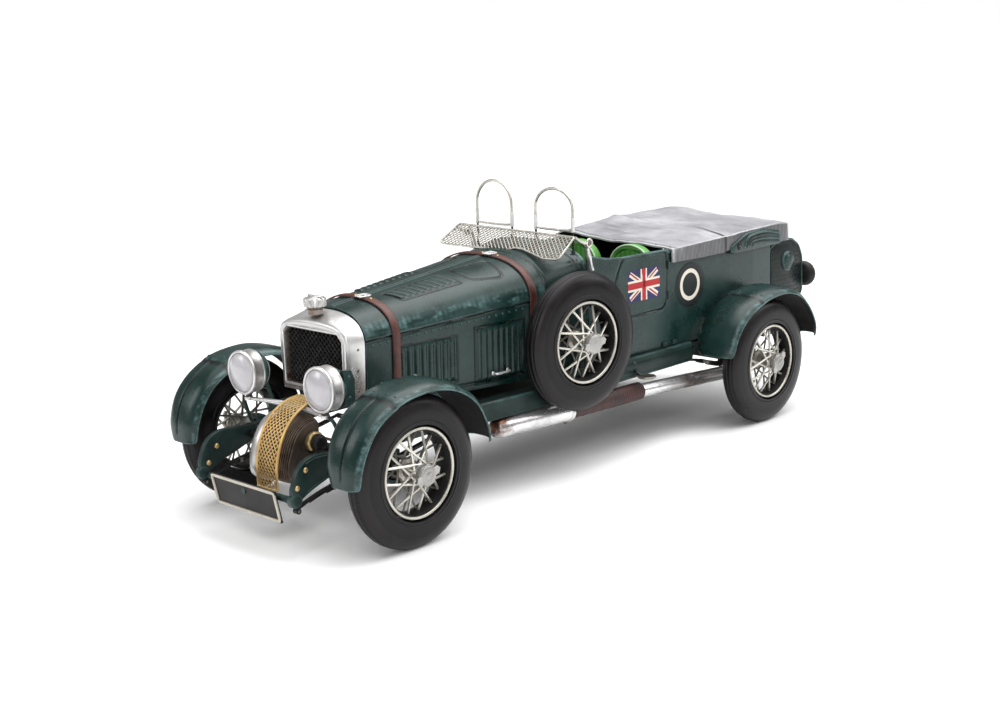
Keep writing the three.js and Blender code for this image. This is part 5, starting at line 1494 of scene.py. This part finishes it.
for side, sign in (("left", 1), ("right", -1)):
    build = Build()
    mirror = [sign, 1, 1]
    y = np.linspace(-77.8, 96.5, 160)
    fall = (y + 78) / 172 * 2
    lip = [(36.9, 50.4), (37.2, 50.75), (43.9, 50.75), (44.5, 50.2), (44.75, 48.6), (45.5, 42.0), (45.7, 41.4), (45.4, 41.15), (45.0, 41.4),
           (44.2, 47.6), (43.6, 49.7), (36.9, 49.7)]
    raised = [(36.9, 50.6), (37.2, 51.4), (41.4, 51.6), (42.4, 51.3), (42.9, 50.2), (43.4, 41.4), (43.5, 40.8), (43.2, 40.5), (42.8, 40.8)]
    rings = []
    for yy, f in zip(y, fall):
        share = step(yy, -26, -20)
        ring = [(x, yy, z - f) for x, z in lip]
        for k, (x, z) in enumerate(raised):
            ring[k] = (ring[k][0] + (x - ring[k][0]) * share, yy, ring[k][2] + (z - ring[k][2]) * share)
        rings.append(ring)
    rings = np.array(rings)
    slot_wear = np.zeros(rings.shape[:2])
    slot_wear[:, 3] = 0.8
    # Painted shade on the top of the sill's front part, where it runs under the body.
    dark = np.zeros(rings.shape[:2])
    dark[:, 0:3] = (0.95 * (1 - step(y, -26, -20)))[:, None]
    build.grid(rings * mirror, GREEN_DARK, wrap_columns=True, cap=True, wear_and_sheen=slot_wear, soil_and_shade=dark)
    for yy in (-72, -20, 30, 62, 88):
        out = 45.1 - 1.7 * step(yy, -26, -20)
        build.rivet(np.array([out, yy, 46.0 - (yy + 78) / 86]) * mirror, (sign, 0, 0.1), 0.6, GREEN_DARK, 0.4)
    angle = np.linspace(0, 2 * math.pi, 48, endpoint=False)
    oval = np.stack([50.4 + 5.0 * np.cos(angle), 46.5 + 5.2 * np.sin(angle)], axis=-1)
    rings = []
    for inset, z in ((0.5, 41.2), (0, 41.5), (0, 42.0), (0.35, 42.35), (1.0, 42.2), (1.6, 42.0)):
        middle = np.array([50.4, 46.5])
        line = middle + (oval - middle) * (1 - inset / 5)
        rings.append(np.stack([line[:, 0], line[:, 1], np.full(48, z)], axis=-1))
    build.grid(np.array(rings) * mirror, STEEL, wrap_columns=True, cap=True, wear_and_sheen=0.4 * np.ones((6, 48)))
    for k in range(-2, 3):
        build.tube(np.array([(47.2, 46.5 + 1.5 * k, 42.1), (53.6, 46.5 + 1.5 * k, 42.1)]) * mirror, 0.3, STEEL, 6)
    build.tube(smooth_path([(43.4, 45, 46.4), (44.8, 45.2, 43.4), (47.4, 45.8, 41.9)], 14) * mirror, 0.9, GREEN_DARK, 12)
    build.rivet(np.array([43.0, 45, 48.2]) * mirror, (sign, 0, 0.2), 1.6, GREEN_DARK, 1.2, 4, 16)
    build.piece(f"sill_and_step_{side}", "chassis", [f"sill_{side}"], "chassis_paint", sharp=40)

EXHAUST_X = 42.2
FRONT_PIPE = [(-64, 35.6), (-40, 34.6), (-10, 33.3)]
WRAPPED = [(-12, 33.3), (20, 32.6), (50, 32.1)]
TAIL_PIPE = [(48, 32), (86, 29.8), (120, 27.8), (138, 26.9), (186, 26.9)]


def pipe_path(rows, count, x=EXHAUST_X):
    return smooth_path([(x, y, z) for y, z in rows], count)


exhaust = Build()
path = pipe_path(FRONT_PIPE, 60)
share = np.linspace(0, 1, 60)
swell = 5.5 - 0.9 * (1 - np.sqrt(np.clip(share / 0.12, 0, 1) * (2 - np.clip(share / 0.12, 0, 1)))) * 2.4
exhaust.tube(path, swell, EXHAUST, 40, soil_and_shade=1.1 * (1 - step(share, 0.05, 0.35)))
path = pipe_path(TAIL_PIPE, 140)
share = np.linspace(0, 1, 140)
exhaust.tube(path, 3.9 + 0.12 * bell(share - 0.33, 0.006) + 0.12 * bell(share - 0.7, 0.006), EXHAUST, 36,
             soil_and_shade=0.75 * bell(share - 0.33, 0.1) + 0.8 * step(share, 0.86, 1))
mouth = path[-1]
exhaust.lathe([(2.9, -3.5), (3.5, 0.02), (3.9, 0.05), (3.95, -1.4), (3.0, -3.6), (2.9, -3.5)], "y", mouth, EXHAUST, 36, soil_and_shade=[1, 1, 0.6, 0.3, 1, 1])
path = pipe_path(WRAPPED, 500)
y = path[:, 1]
coils = step(y, 22, 23.5)
turns = np.abs(np.sin((y - 22) / 1.75 * math.pi)) ** 0.7
radius = 4.75 + coils * (0.25 * turns - 0.12) + 0.06 * np.sin(y * 0.9) * (1 - coils)
radius = np.where(y > 49.2, radius - 0.5 * (y - 49.2), radius)
exhaust.tube(path, radius, WRAP, 40, soil_and_shade=coils * (1 - turns) * 0.9)
for y, z, r in ((-10.6, 33.3, 5.62), (-9.2, 33.25, 5.5)):
    ring_line = [(r - 0.7, y - 0.7), (r, y - 0.6), (r + 0.12, y), (r, y + 0.6), (r - 0.7, y + 0.7)]
    exhaust.lathe(ring_line + ring_line[:1], "y", (EXHAUST_X, 0, z), SILVER, 40)
exhaust.prism([(-11.4, 26.6), (-8.6, 26.6), (-8.4, 28.4), (-11.6, 28.4)], "yz", EXHAUST_X - 0.9, EXHAUST_X + 0.9, STEEL)
exhaust.piece("exhaust_and_wrap", "chassis", ["exhaust_pipe"], "exhaust_metal", sharp=50)

carrier = Build()
shoe = rounded_loop([(-12.5, 34.6), (1.5, 34.0), (1.5, 39.2), (-1.0, 41.0), (-10.4, 41.4), (-12.5, 39.8)], 1.0, 4)
carrier.prism(shoe, "yz", 48.1, 50.6, BLACK)
carrier.prism(rounded_loop([(-11.5, 35.2), (0.5, 34.7), (0.5, 36), (-11.5, 36.5)], 0.4, 3), "yz", 44.9, 48.6, BLACK)
for y in (-10, -1):
    carrier.rivet((50.5, y, 37.4), (1, 0, 0), 0.8, STEEL, 0.5)
carrier.piece("spare_wheel_shoe", "chassis", slot="black_parts", sharp=40, bevel=0.2)

# --- tail: panel, tank and lamp --------------------------------------------------------------------

tail = Build()
x = np.linspace(-39.8, 39.8, 120)[None, :] * np.ones((70, 1))
z = np.linspace(50.7, 103.8, 70)[:, None] * np.ones(120)
frame_line = np.minimum(40 - np.abs(x), np.minimum(z - 50.5, 104 - z))
pressed = 0.3 * bell(frame_line - 3.2, 0.6)
tail.sheet(np.stack([x, 178.4 - pressed, z], axis=-1), np.stack([x, 177.5 + 0 * x, z], axis=-1), GREEN, BLACK, soil_and_shade=bell(frame_line - 3.2, 0.9))
for xx in np.linspace(-37.6, 37.6, 12):
    for zz in (52.4, 102.2):
        tail.rivet((xx, 178.3, zz), (0, 1, 0), 0.55, GREEN, 0.35)
tail.piece("tail_bulkhead", "chassis", ["tail_panel"], "body_paint", sharp=50)

tank = Build()
TANK = [(180, 58), (213, 58), (217, 62), (217, 84), (213, 92), (205, 97), (189, 97), (180, 93)]
tank_loop = rounded_loop(TANK, 3)
rings = []
for x, inset in ((-37.9, 1.0), (-37.4, 0.3), (-36.8, 0.1), (-33.5, 0.1), (-33.0, 0.5), (-32.5, 0.1), (0, 0.1), (32.5, 0.1), (33.0, 0.5),
                 (33.5, 0.1), (36.8, 0.1), (37.4, 0.3), (37.9, 1.0)):
    line = shrunk(tank_loop, inset)
    rings.append(np.stack([np.full(len(line), x), line[:, 0], line[:, 1]], axis=-1))
tank_tone = np.repeat([0.9, 0.9, 0.8, 0.1, 0.1, 0, 0, 0, 0.1, 0.1, 0.8, 0.9, 0.9], len(tank_loop))
tank.grid(np.array(rings), GREEN_DARK, wrap_columns=True, cap=True, soil_and_shade=tank_tone)
for sign in (-1, 1):
    edge = shrunk(tank_loop, 0.75)
    tank.tube(np.stack([np.full(len(edge), sign * 37.4), edge[:, 0], edge[:, 1]], axis=-1), 0.75, GREEN, 10, closed=True, wear_and_sheen=0.4)
    boss = [(0.05, 0), (6.3, 0), (6.3, 0.9), (5.6, 1.7), (4.6, 1.9), (3.6, 2.6), (2.2, 3.0), (0.05, 3.1)]
    tank.lathe([(r, sign * t) for r, t in boss], "x", (sign * 37.4, 200, 83), GREEN, 40, wear_and_sheen=[0, 0, 0.5, 0.3, 0, 0.4, 0.2, 0])
    for row, z in enumerate(np.arange(61.5, 90, 2.6)):
        for y in np.arange(184.5 + 1.3 * (row % 2), 212, 2.6):
            if math.hypot(y - 200, z - 83) > 7.8 and y + z < 298:
                tank.rivet((sign * 37.75, y, z), (sign, 0, 0), 0.8, BLACK, 0.3, 2, 8)
    for y in (182.2, 183.6):
        tank.tube([(sign * 37.9, y, 61), (sign * 37.9, y, 91)], 0.4, GREEN_DARK, 8)
for x in (-18, 18):
    band = shrunk(tank_loop, -0.05)
    for dx in (-1.6, 1.6):
        tank.tube(np.stack([np.full(len(band), x + dx), band[:, 0], band[:, 1]], axis=-1), 0.35, STEEL, 8, closed=True)
tank.lathe([(0.05, 0), (4.2, 0), (4.2, 1.2), (3.4, 2.0), (0.05, 2.2)], "z", (0, 197, 96.8), SILVER, 32)
for z in np.arange(64, 84, 4):
    tank.tube([(-31, 216.9, z), (31, 216.9, z)], 0.35, GREEN_DARK, 8)
tank.piece("rear_tank", "chassis", ["fuel_tank"], "chassis_paint", sharp=45)

lamp = Build()
disc_profile = [(0.05, 0.1), (5.4, 0.1), (7.2, 1.6), (7.7, 3.0), (7.7, 4.0), (7.3, 5.0), (6.4, 5.9), (6.1, 5.5), (5.5, 6.2), (3.8, 7.1), (1.8, 7.5), (0.05, 7.6)]
LAMP_DISC = np.array([36.6, 0, 72.3])
lamp.lathe([(r, 217.3 + t) for r, t in disc_profile], "y", LAMP_DISC, BLACK, 64)
for k in range(8):
    a = 2 * math.pi * k / 8
    lamp.rivet(LAMP_DISC + [6.8 * math.cos(a), 222.7, 6.8 * math.sin(a)], (0, 1, 0), 0.4, STEEL, 0.3)
lamp.piece("rear_lamp_disc", "chassis", ["tail_lamp"], "black_parts", sharp=40)

# --- cover over the rear compartment ---------------------------------------------------------------

# y, half width, flap bottom z, edge z, crown z
COVER_LINE = np.array([
    (79, 43.7, 99, 107.2, 108.6), (104, 44, 98.4, 107.6, 110.4), (127, 44.2, 98.4, 108, 112.4), (136, 44.2, 100, 108, 111.8),
    (142, 44.2, 104.0, 108.6, 111.6), (176, 44.4, 103.6, 109.4, 111.6), (183, 44.8, 98, 109.4, 111.2), (192, 45, 97.6, 108.6, 110.2),
])


def cover_line(y, k):
    return np.interp(y, COVER_LINE[:, 0], COVER_LINE[:, k])


rows = 260
y = np.linspace(79.2, 191.8, rows)[:, None]
drop = np.linspace(0, 1, 22)[::-1]
flat = np.linspace(-1, 1, 150)
half, flap, edge, crown = (cover_line(y, k) for k in (1, 2, 3, 4))
half = half - 0.25
tail_round = np.clip((192 - y) / 6, 0, 1)
half = half * (0.985 + 0.015 * np.sqrt(tail_round * (2 - tail_round)))


def crease(x, y):
    """Folds of the cover: a cross ridge, a sunk centre, ripples towards the seats and by the corners."""
    away = np.abs(x) / 44
    fold = 0.55 * bell(y - 127 - 2.0 * np.sin(x * 0.05), 1.0) - 0.5 * bell(y - 130.0 - 1.5 * np.sin(x * 0.06 + 1), 1.6)
    fold = fold + 0.3 * bell(y - 124 + 1.2 * np.sin(x * 0.07 + 2), 0.9)
    fold -= 0.35 * bell(x + 6 - 0.4 * (y - 100), 3) * step(y, 82, 90) * step(-y, -124, -116)
    fold += 0.25 * np.sin(x * 0.16 + y * 0.05) * step(-y, -96, -84) * (1 - away)
    fold += 0.22 * np.sin(x * 0.11 - y * 0.17 + 1.3) * (1 - away) + 0.12 * np.sin(x * 0.4 + y * 0.23)
    fold -= 0.3 * bell(y - 158 + 0.2 * x, 1.4) * step(away, 0.2, 0.5)
    fold -= 0.5 * bell(y - 83.5, 0.8)
    return fold * (1 - 0.6 * away**6)


x_flat = flat[None, :] * (half - 0.55)
far_side = step(-flat, 0.0, 0.7)[None, :]
fullness = 2.6 + 9 * far_side
rise = (crown + 2.2 * far_side - edge) * (1 - np.abs(flat[None, :]) ** fullness)
yy = y + 0 * x_flat
top_z = edge - 0.3 + rise + crease(x_flat, yy) - 0.35
top_z = np.minimum(top_z, crown + 2.6 * far_side)
FAR_RISE = 2.6
top_z = top_z + FAR_RISE * far_side * np.clip(-flat[None, :] - 0.55, 0, 0.3) / 0.3 * 0.6
turn = np.clip((1 - np.abs(flat[None, :])) / 0.02, 0, 1)
top_z = top_z - 0.5 * (1 - turn) ** 2
left_x = half + 0 * drop[None, :] + 0.0
side_z = flap + (edge - 0.9 - flap) * (1 - drop[None, :])
ripple = 0.16 * np.sin(y * 0.55) * np.sin(drop[None, :] * 3) + 0.1 * np.sin(y * 1.7 + 4 * drop[None, :])
side_x = half - 0.16 + ripple * 0.6 - 0.25 * (1 - drop[None, :]) ** 4


def cover_grid(depth):
    right = np.stack([-(side_x - depth * 1.0), y + 0 * side_x, side_z + FAR_RISE * (1 - drop[None, :])], axis=-1)
    top = np.stack([x_flat * (1 - depth * 0.015), yy, top_z - depth], axis=-1)
    left = np.stack([side_x[:, ::-1] - depth * 1.0, y + 0 * side_x, side_z[:, ::-1]], axis=-1)
    return np.concatenate([right, top, left], axis=1)


outer = cover_grid(0.0)
tilt = np.abs(outer[..., 0]) / 44.2
# Painted shade in the cross crease, the front fold and along the turned edges of the top, and on the side flaps below
# the edge.
folds = np.clip(1.5 * bell(outer[..., 1] - 128.6 - 1.5 * np.sin(outer[..., 0] * 0.06 + 1), 1.3), 0, 1)
folds = np.maximum(folds, 0.85 * bell(outer[..., 1] - 83.6, 0.6))
folds = np.maximum(folds, 0.7 * bell(tilt - 0.985, 0.008) * (outer[..., 2] > 106))
flap_tone = 0.75 * (outer[..., 2] < cover_line(outer[..., 1], 3) - 1.2) * (tilt > 0.97)
hem = bell(outer[..., 1] - 80.4, 0.8) + bell(outer[..., 1] - 191, 0.8) + bell(tilt - 0.97, 0.006)
cover = Build()
cover.sheet(outer, cover_grid(0.8), COVER, BLACK, wear_and_sheen=np.clip(hem, 0, 1), soil_and_shade=np.clip(np.maximum(folds, flap_tone), 0, 1))
for xx in np.linspace(-40, 40, 9):
    cover.rivet((xx, 81.4, cover_line(81.4, 3) - 0.65 + (cover_line(81.4, 4) - cover_line(81.4, 3)) * (1 - (abs(xx) / 44) ** 2.6) + 0.1), (0, 0, 1), 0.5, STEEL, 0.3)
for sign in (-1, 1):
    for yy0 in (88, 101, 114, 127):
        cover.rivet((sign * (cover_line(yy0, 1) - 0.5), yy0, cover_line(yy0, 2) + 1.6), (sign, 0, 0), 0.55, STEEL, 0.35)
cover.piece("tonneau_sheet", "chassis", ["tonneau_cover"], "cover_paint", sharp=55)

hood = Build()
for sign in (-1, 1):
    mirror = [sign, 1, 1]
    bulge = rounded_loop([(132, 96.6), (132.6, 101.2), (140, 104.2), (148, 107.2), (162, 108), (181.8, 104.6), (182.6, 96.8)], 2.2, 6)
    rings = []
    for x, inset in ((42.3, 0.3), (44.4, 0.0), (44.9, 0.5), (45.1, 1.4)):
        line = shrunk(bulge, inset)
        rings.append(np.stack([np.full(len(line), x), line[:, 0], line[:, 1]], axis=-1) * mirror)
    hood.grid(np.array(rings), GREEN, wrap_columns=True, cap=True)
    for k in range(4):
        start = 144.5 + 2.6 * k
        rib = smooth_path([(44.7, start, 98.6 + 0.2 * k), (45.0, start + 2.2, 102.8 - 0.8 * k), (45.1, start + 7, 105.4 - 1.7 * k),
                           (45.1, 166, 106 - 2.0 * k), (44.8, 180.4, 103.2 - 1.6 * k)], 44)
        hood.tube(rib * mirror, 0.8, GREEN_DARK if k % 2 else GREEN, 12, wear_and_sheen=0.25)
    hood.rivet(np.array([44.8, 139.6, 100.6]) * mirror, (sign, 0, 0), 2.5, BLACK, 0.9, 4, 18)
    hood.rivet(np.array([45.3, 139.6, 100.6]) * mirror, (sign, 0, 0), 0.9, STEEL, 0.6)
hood.piece("folded_hood_irons", "chassis", slot="body_paint", sharp=45)

# --- cockpit ---------------------------------------------------------------------------------------

for side, centre_x in (("left", 20), ("right", -20)):
    build = Build()
    half = 15.2
    arch = np.linspace(0, math.pi, 60)
    outline = [(half, 62.2)] + [(half * math.cos(a), 95 + 13.2 * math.sin(a)) for a in arch] + [(-half, 62.2)]
    loop = np.array(outline)
    rings = []
    for y, inset in ((70.6, 3.0), (70.25, 1.4), (70.8, 0.4), (72.4, 0.0), (75.6, 0.2), (76.8, 1.2)):
        line = shrunk(loop, inset)
        rings.append(np.stack([line[:, 0] + centre_x, np.full(len(line), y), line[:, 1]], axis=-1))
    build.grid(np.array(rings), SEAT, wrap_columns=True)
    x = np.linspace(-1, 1, 80)[None, :] * np.ones((60, 1))
    v = np.linspace(0, 1, 60)[:, None] * np.ones(80)
    for y, thick in ((70.6, -1), (76.8, 1)):
        top = 95 + (13.2 - 3.0) * np.sqrt(np.clip(1 - x**2, 0, 1))
        zz = 65.2 + (top - 65.2) * v
        pleat = 0.45 * np.abs(np.sin(x * math.pi * 3.5)) * np.clip(v * 6, 0, 1)
        face = np.stack([centre_x + x * (half - 2.8), y + thick * (pleat - 0.1) + 0 * x, zz], axis=-1)
        deep = face.copy()
        deep[..., 1] = y - thick * 0.8
        # Painted shade in the valleys between the pleats.
        build.sheet(face, deep, SEAT, soil_and_shade=0.8 * bell(pleat, 0.1))
    piping = shrunk(loop, 0.35)
    build.tube(np.stack([piping[:, 0] + centre_x, np.full(len(piping), 70.6), piping[:, 1]], axis=-1), 0.55, PIPING, 10)
    u = np.linspace(-1, 1, 80)[None, :] * np.ones((50, 1))
    w = np.linspace(44.3, 71.6, 50)[:, None] * np.ones(80)
    puff = 0.5 * np.abs(np.sin(u * math.pi * 3.5)) - 1.4 * bell(np.abs(u) - 1, 0.08) - 1.6 * bell(w - 44.3, 1.4)
    build.sheet(np.stack([centre_x + u * 15.2, w, 66.4 + puff * 0.9], axis=-1), np.stack([centre_x + u * 15.2, w, 54.2 + 0 * u], axis=-1), SEAT)
    build.piece(f"bucket_seat_{side}", "chassis", [f"seat_{side}"], "seat_paint", sharp=50)

steering = Build()
hub = np.array([-19, 33, 97])
axis = np.array([0, math.cos(math.radians(28)), math.sin(math.radians(28))])
side_axis = np.array([1.0, 0, 0])
up_axis = np.cross(axis, side_axis)
angle = np.linspace(0, 2 * math.pi, 72, endpoint=False)
rim = hub + 12.15 * (np.cos(angle)[:, None] * side_axis + np.sin(angle)[:, None] * up_axis)
rim += axis * (0.0 * np.sin(12 * angle))[:, None]
steering.tube(rim, 0.8 + 0.06 * np.sin(angle * 24), BLACK, 14, closed=True)
for k in range(4):
    a = math.pi / 4 + math.pi / 2 * k
    d = math.cos(a) * side_axis + math.sin(a) * up_axis
    steering.tube([hub + d * 2.4, hub + d * 7, hub + d * 11.6], [0.75, 0.55, 0.5], SILVER, 10)
steering.tube([hub - axis * 20, hub - axis * 1.4], 1.3, BLACK, 16)
steering.tube([hub - axis * 1.5, hub - axis * 0.8, hub + axis * 0.6, hub + axis * 1.2], [2.2, 2.9, 2.9, 1.6], SILVER, 28)
steering.piece("steering_wheel_and_column", "steering_wheel", ["steering_wheel"], "black_parts", sharp=45)

# --- windscreen and aero screens -------------------------------------------------------------------

for side, sign in (("left", 1), ("right", -1)):
    post = Build()
    line = smooth_path([(sign * 42.2, 12.1, 104.1), (sign * 42.25, 11.0, 108), (sign * 42.2, 9.6, 113.4), (sign * 42.2, 8.4, 118.3)], 30)
    post.tube(line, 1.25 + 0.15 * np.cos(np.linspace(0, 12, 30)), SILVER, 14, wear_and_sheen=0.7)
    post.lathe([(0.05, 0), (1.05, 0), (1.1, 0.4), (1.1, 1.4), (0.05, 1.6)], "z", (sign * 42.2, 12.1, 103.9), STEEL, 20)
    post.piece(f"screen_post_{side}", "chassis", [f"windscreen_post_{side}"], "aged_silver", sharp=40)

SCREEN_TILT = math.radians(42.8)
# x and distance down the slope of the mesh panel's front edge, right end to left end
SCREEN_FRONT = np.array([
    (-47.2, 11.6), (-44.6, 13), (-22, 13), (2.5, 12.8), (5.5, 11.8), (8, 10.6), (14, 10.8), (22, 13), (31, 15.4), (40, 15), (41.4, 13.6),
])
SCREEN_REAR = ((-41.4, -1.6), (43, 0))


def on_screen(x, down, lift=0.5):
    """A point of the mesh panel: down is the distance from its rear rail along the slope."""
    x, down = np.broadcast_arrays(np.asarray(x, dtype=float), np.asarray(down, dtype=float))
    y = -1.4 - down * math.cos(SCREEN_TILT) - lift * math.sin(SCREEN_TILT)
    z = 122.7 - down * math.sin(SCREEN_TILT) + lift * math.cos(SCREEN_TILT)
    return np.stack([x, y, z], axis=-1)


screen = Build()
corners = [SCREEN_REAR[0], SCREEN_REAR[1], *[tuple(p) for p in SCREEN_FRONT[::-1]]]
rim_line = rounded_loop(corners, 1.2, 4)
screen.tube(on_screen(rim_line[:, 0], rim_line[:, 1]), 0.55, WIRE, 10, closed=True, wear_and_sheen=1)


def front_edge(x):
    return np.interp(x, SCREEN_FRONT[:, 0], SCREEN_FRONT[:, 1], left=-1, right=-1)


def rear_edge(x):
    return np.interp(x, [SCREEN_FRONT[0][0], SCREEN_REAR[0][0], SCREEN_REAR[1][0]], [11.6, SCREEN_REAR[0][1], SCREEN_REAR[1][1]])


for lean in (-1, 1):
    for start in np.arange(-66, 66, 2.7):
        down = np.linspace(-1.5, 16, 45)
        x = start + lean * down * 1.05
        inside = (down < front_edge(x)) & (down > rear_edge(x)) & (x < 43 - 0.12 * down)
        if inside.sum() < 2:
            continue
        d0, d1 = down[inside][0], down[inside][-1]
        line = np.linspace(d0, d1, 4)
        screen.tube(on_screen(start + lean * line * 1.05, line, 0.5 + 0.16 * lean), 0.33, WIRE, 5)
for sign in (-1, 1):
    ring_angle = np.linspace(0, 2 * math.pi, 28, endpoint=False)
    eye = np.stack([np.full(28, sign * 44.4), 8 + 2.0 * np.cos(ring_angle), 119 + 2.0 * np.sin(ring_angle)], axis=-1)
    screen.tube(eye, 0.65, WIRE, 10, closed=True, wear_and_sheen=1)
    screen.lathe([(0.05, -0.5), (0.8, -0.5), (0.8, 0.5), (0.05, 0.5)], "x", (sign * 44.4, 8, 119), STEEL, 16)
    arm = smooth_path([(sign * 44.4, 6.4, 119.2), (sign * 44.0, 2.0, 120.3), (sign * 43, -1.4, 122.9)], 18)
    screen.tube(arm, 0.8, WIRE, 10, wear_and_sheen=1)
screen.piece("mesh_windscreen", "windscreen", ["windscreen_frame"], "wire_metal", sharp=50)

for side, centre_x, hoop_top in (("left", 23.1, 146.9), ("right", -20.2, 149.0)):
    hoop = Build()
    outer_foot, inner_foot = (118, 112.4) if centre_x > 0 else (112.4, 118)
    path = [(-13, 5, z) for z in (124.2, 129, 133.5)]
    for a in np.linspace(math.pi, 0, 15)[1:-1]:
        path.append((13 * math.cos(a), 5, 135.6 + (hoop_top - 136.2) * math.sin(a)))
    path += [(13, 5, z) for z in (133.5, 129, 124.2)]
    line = smooth_path(path, 120) + [centre_x, 0, 0]
    hoop.tube(line, 0.72, WIRE, 12, wear_and_sheen=0.4)
    for x, foot in ((-13, outer_foot), (13, inner_foot)):
        hoop.tube([(centre_x + x, 5, 124.4), (centre_x + x, 5, 132)], 1.05, SILVER, 12)
        hoop.tube([(centre_x + x, 5, foot + 0.1), (centre_x + x, 5, 124.6)], 0.6, BLACK, 12)
        hoop.tube([(centre_x + x, 5, foot + 0.1), (centre_x + x, 5, foot + 2.2)], 1.05, GREEN_DARK, 12)
    sag = smooth_path([(-13, 5, 126.4), (-10.5, 5, 125.2), (0, 5, 124.9), (10.5, 5, 125.2), (13, 5, 126.4)], 40) + [centre_x, 0, 0]
    hoop.tube(sag, 0.6, WIRE, 10, wear_and_sheen=0.6)
    hoop.piece(f"aero_hoop_{side}", "chassis", [f"aero_screen_{side}"], "wire_metal", sharp=50)


# --- camera, light and floor -----------------------------------------------------------------------

VIEW_AZIMUTH = math.radians(44.485)
VIEW_ELEVATION = math.radians(12.623)
VIEW_ROLL = math.radians(-1.891)
CAMERA_AT = (542.2, -566.9, 231.9)
SENSOR_WIDTH = 36.0
FOCAL_LENGTH = 53.605


def place_camera():
    back = Vector((
        math.sin(VIEW_AZIMUTH) * math.cos(VIEW_ELEVATION),
        -math.cos(VIEW_AZIMUTH) * math.cos(VIEW_ELEVATION),
        math.sin(VIEW_ELEVATION),
    ))
    right = Vector((0, 0, 1)).cross(back).normalized()
    up = back.cross(right)
    rolled_right = right * math.cos(VIEW_ROLL) + up * math.sin(VIEW_ROLL)
    rolled_up = up * math.cos(VIEW_ROLL) - right * math.sin(VIEW_ROLL)
    data = bpy.data.cameras.new("view")
    data.sensor_width = SENSOR_WIDTH
    data.lens = FOCAL_LENGTH
    data.clip_start = 0.01
    camera = bpy.data.objects.new("view", data)
    turn = Matrix((rolled_right, rolled_up, back)).transposed().to_4x4()
    camera.matrix_world = Matrix.Translation(Vector(world(CAMERA_AT))) @ turn
    scene.collection.objects.link(camera)
    scene.camera = camera


def add_light(name, at, target, size, power, colour=(1, 1, 1)):
    data = bpy.data.lights.new(name, "AREA")
    data.shape = "RECTANGLE"
    data.size, data.size_y = size
    data.energy = power
    data.color = colour
    lamp = bpy.data.objects.new(name, data)
    lamp.location = at
    lamp.rotation_euler = (Vector(target) - Vector(at)).to_track_quat("-Z", "Y").to_euler()
    scene.collection.objects.link(lamp)


def make_floor():
    g = Graph("studio_floor")
    tone = g.noise(1.5, 3, 0.5)
    g.link(g.mix(tone, srgb(250, 250, 250), srgb(253, 253, 253)), g.shader.inputs["Base Color"])
    g.link(g.ramp(tone, 0.3, 0.7, 0.75, 0.85), g.shader.inputs["Roughness"])
    mesh = bpy.data.meshes.new("studio_floor")
    reach = 30
    mesh.from_pydata([(-reach, -reach, 0), (reach, -reach, 0), (reach, reach, 0), (-reach, reach, 0)], [], [(0, 1, 2, 3)])
    mesh.materials.append(g.material)
    floor = bpy.data.objects.new("studio_floor", mesh)
    scene.collection.objects.link(floor)


place_camera()
make_floor()
add_light("overhead_soft_box", (0.1, 0.15, 0.9), (0, 0, 0.05), (0.9, 0.7), 5.5)
add_light("front_left_box", (0.9, -0.75, 0.55), (0, -0.05, 0.06), (0.35, 0.5), 2.6)
add_light("front_right_box", (-0.7, -0.9, 0.6), (0, -0.1, 0.06), (0.4, 0.5), 2.4)
add_light("tail_box", (0.7, 0.9, 0.6), (0, 0.1, 0.06), (0.5, 0.4), 2.0)

sky = bpy.data.lights.new("ceiling", "SUN")
sky.energy = 2.8
sky.angle = math.radians(95)
ceiling = bpy.data.objects.new("ceiling", sky)
ceiling.rotation_euler = (math.radians(-12), math.radians(10), 0)
scene.collection.objects.link(ceiling)

backdrop = bpy.data.worlds.new("studio")
backdrop.use_nodes = True
tree = backdrop.node_tree
surround = tree.nodes["Background"]
surround.inputs["Color"].default_value = (1, 1, 1, 1)
surround.inputs["Strength"].default_value = 0.24
white = tree.nodes.new("ShaderNodeBackground")
white.inputs["Color"].default_value = (1, 1, 1, 1)
seen = tree.nodes.new("ShaderNodeLightPath")
choose = tree.nodes.new("ShaderNodeMixShader")
tree.links.new(seen.outputs["Is Camera Ray"], choose.inputs[0])
tree.links.new(surround.outputs[0], choose.inputs[1])
tree.links.new(white.outputs[0], choose.inputs[2])
tree.links.new(choose.outputs[0], tree.nodes["World Output"].inputs["Surface"])
scene.world = backdrop
scene.view_settings.view_transform = "Standard"
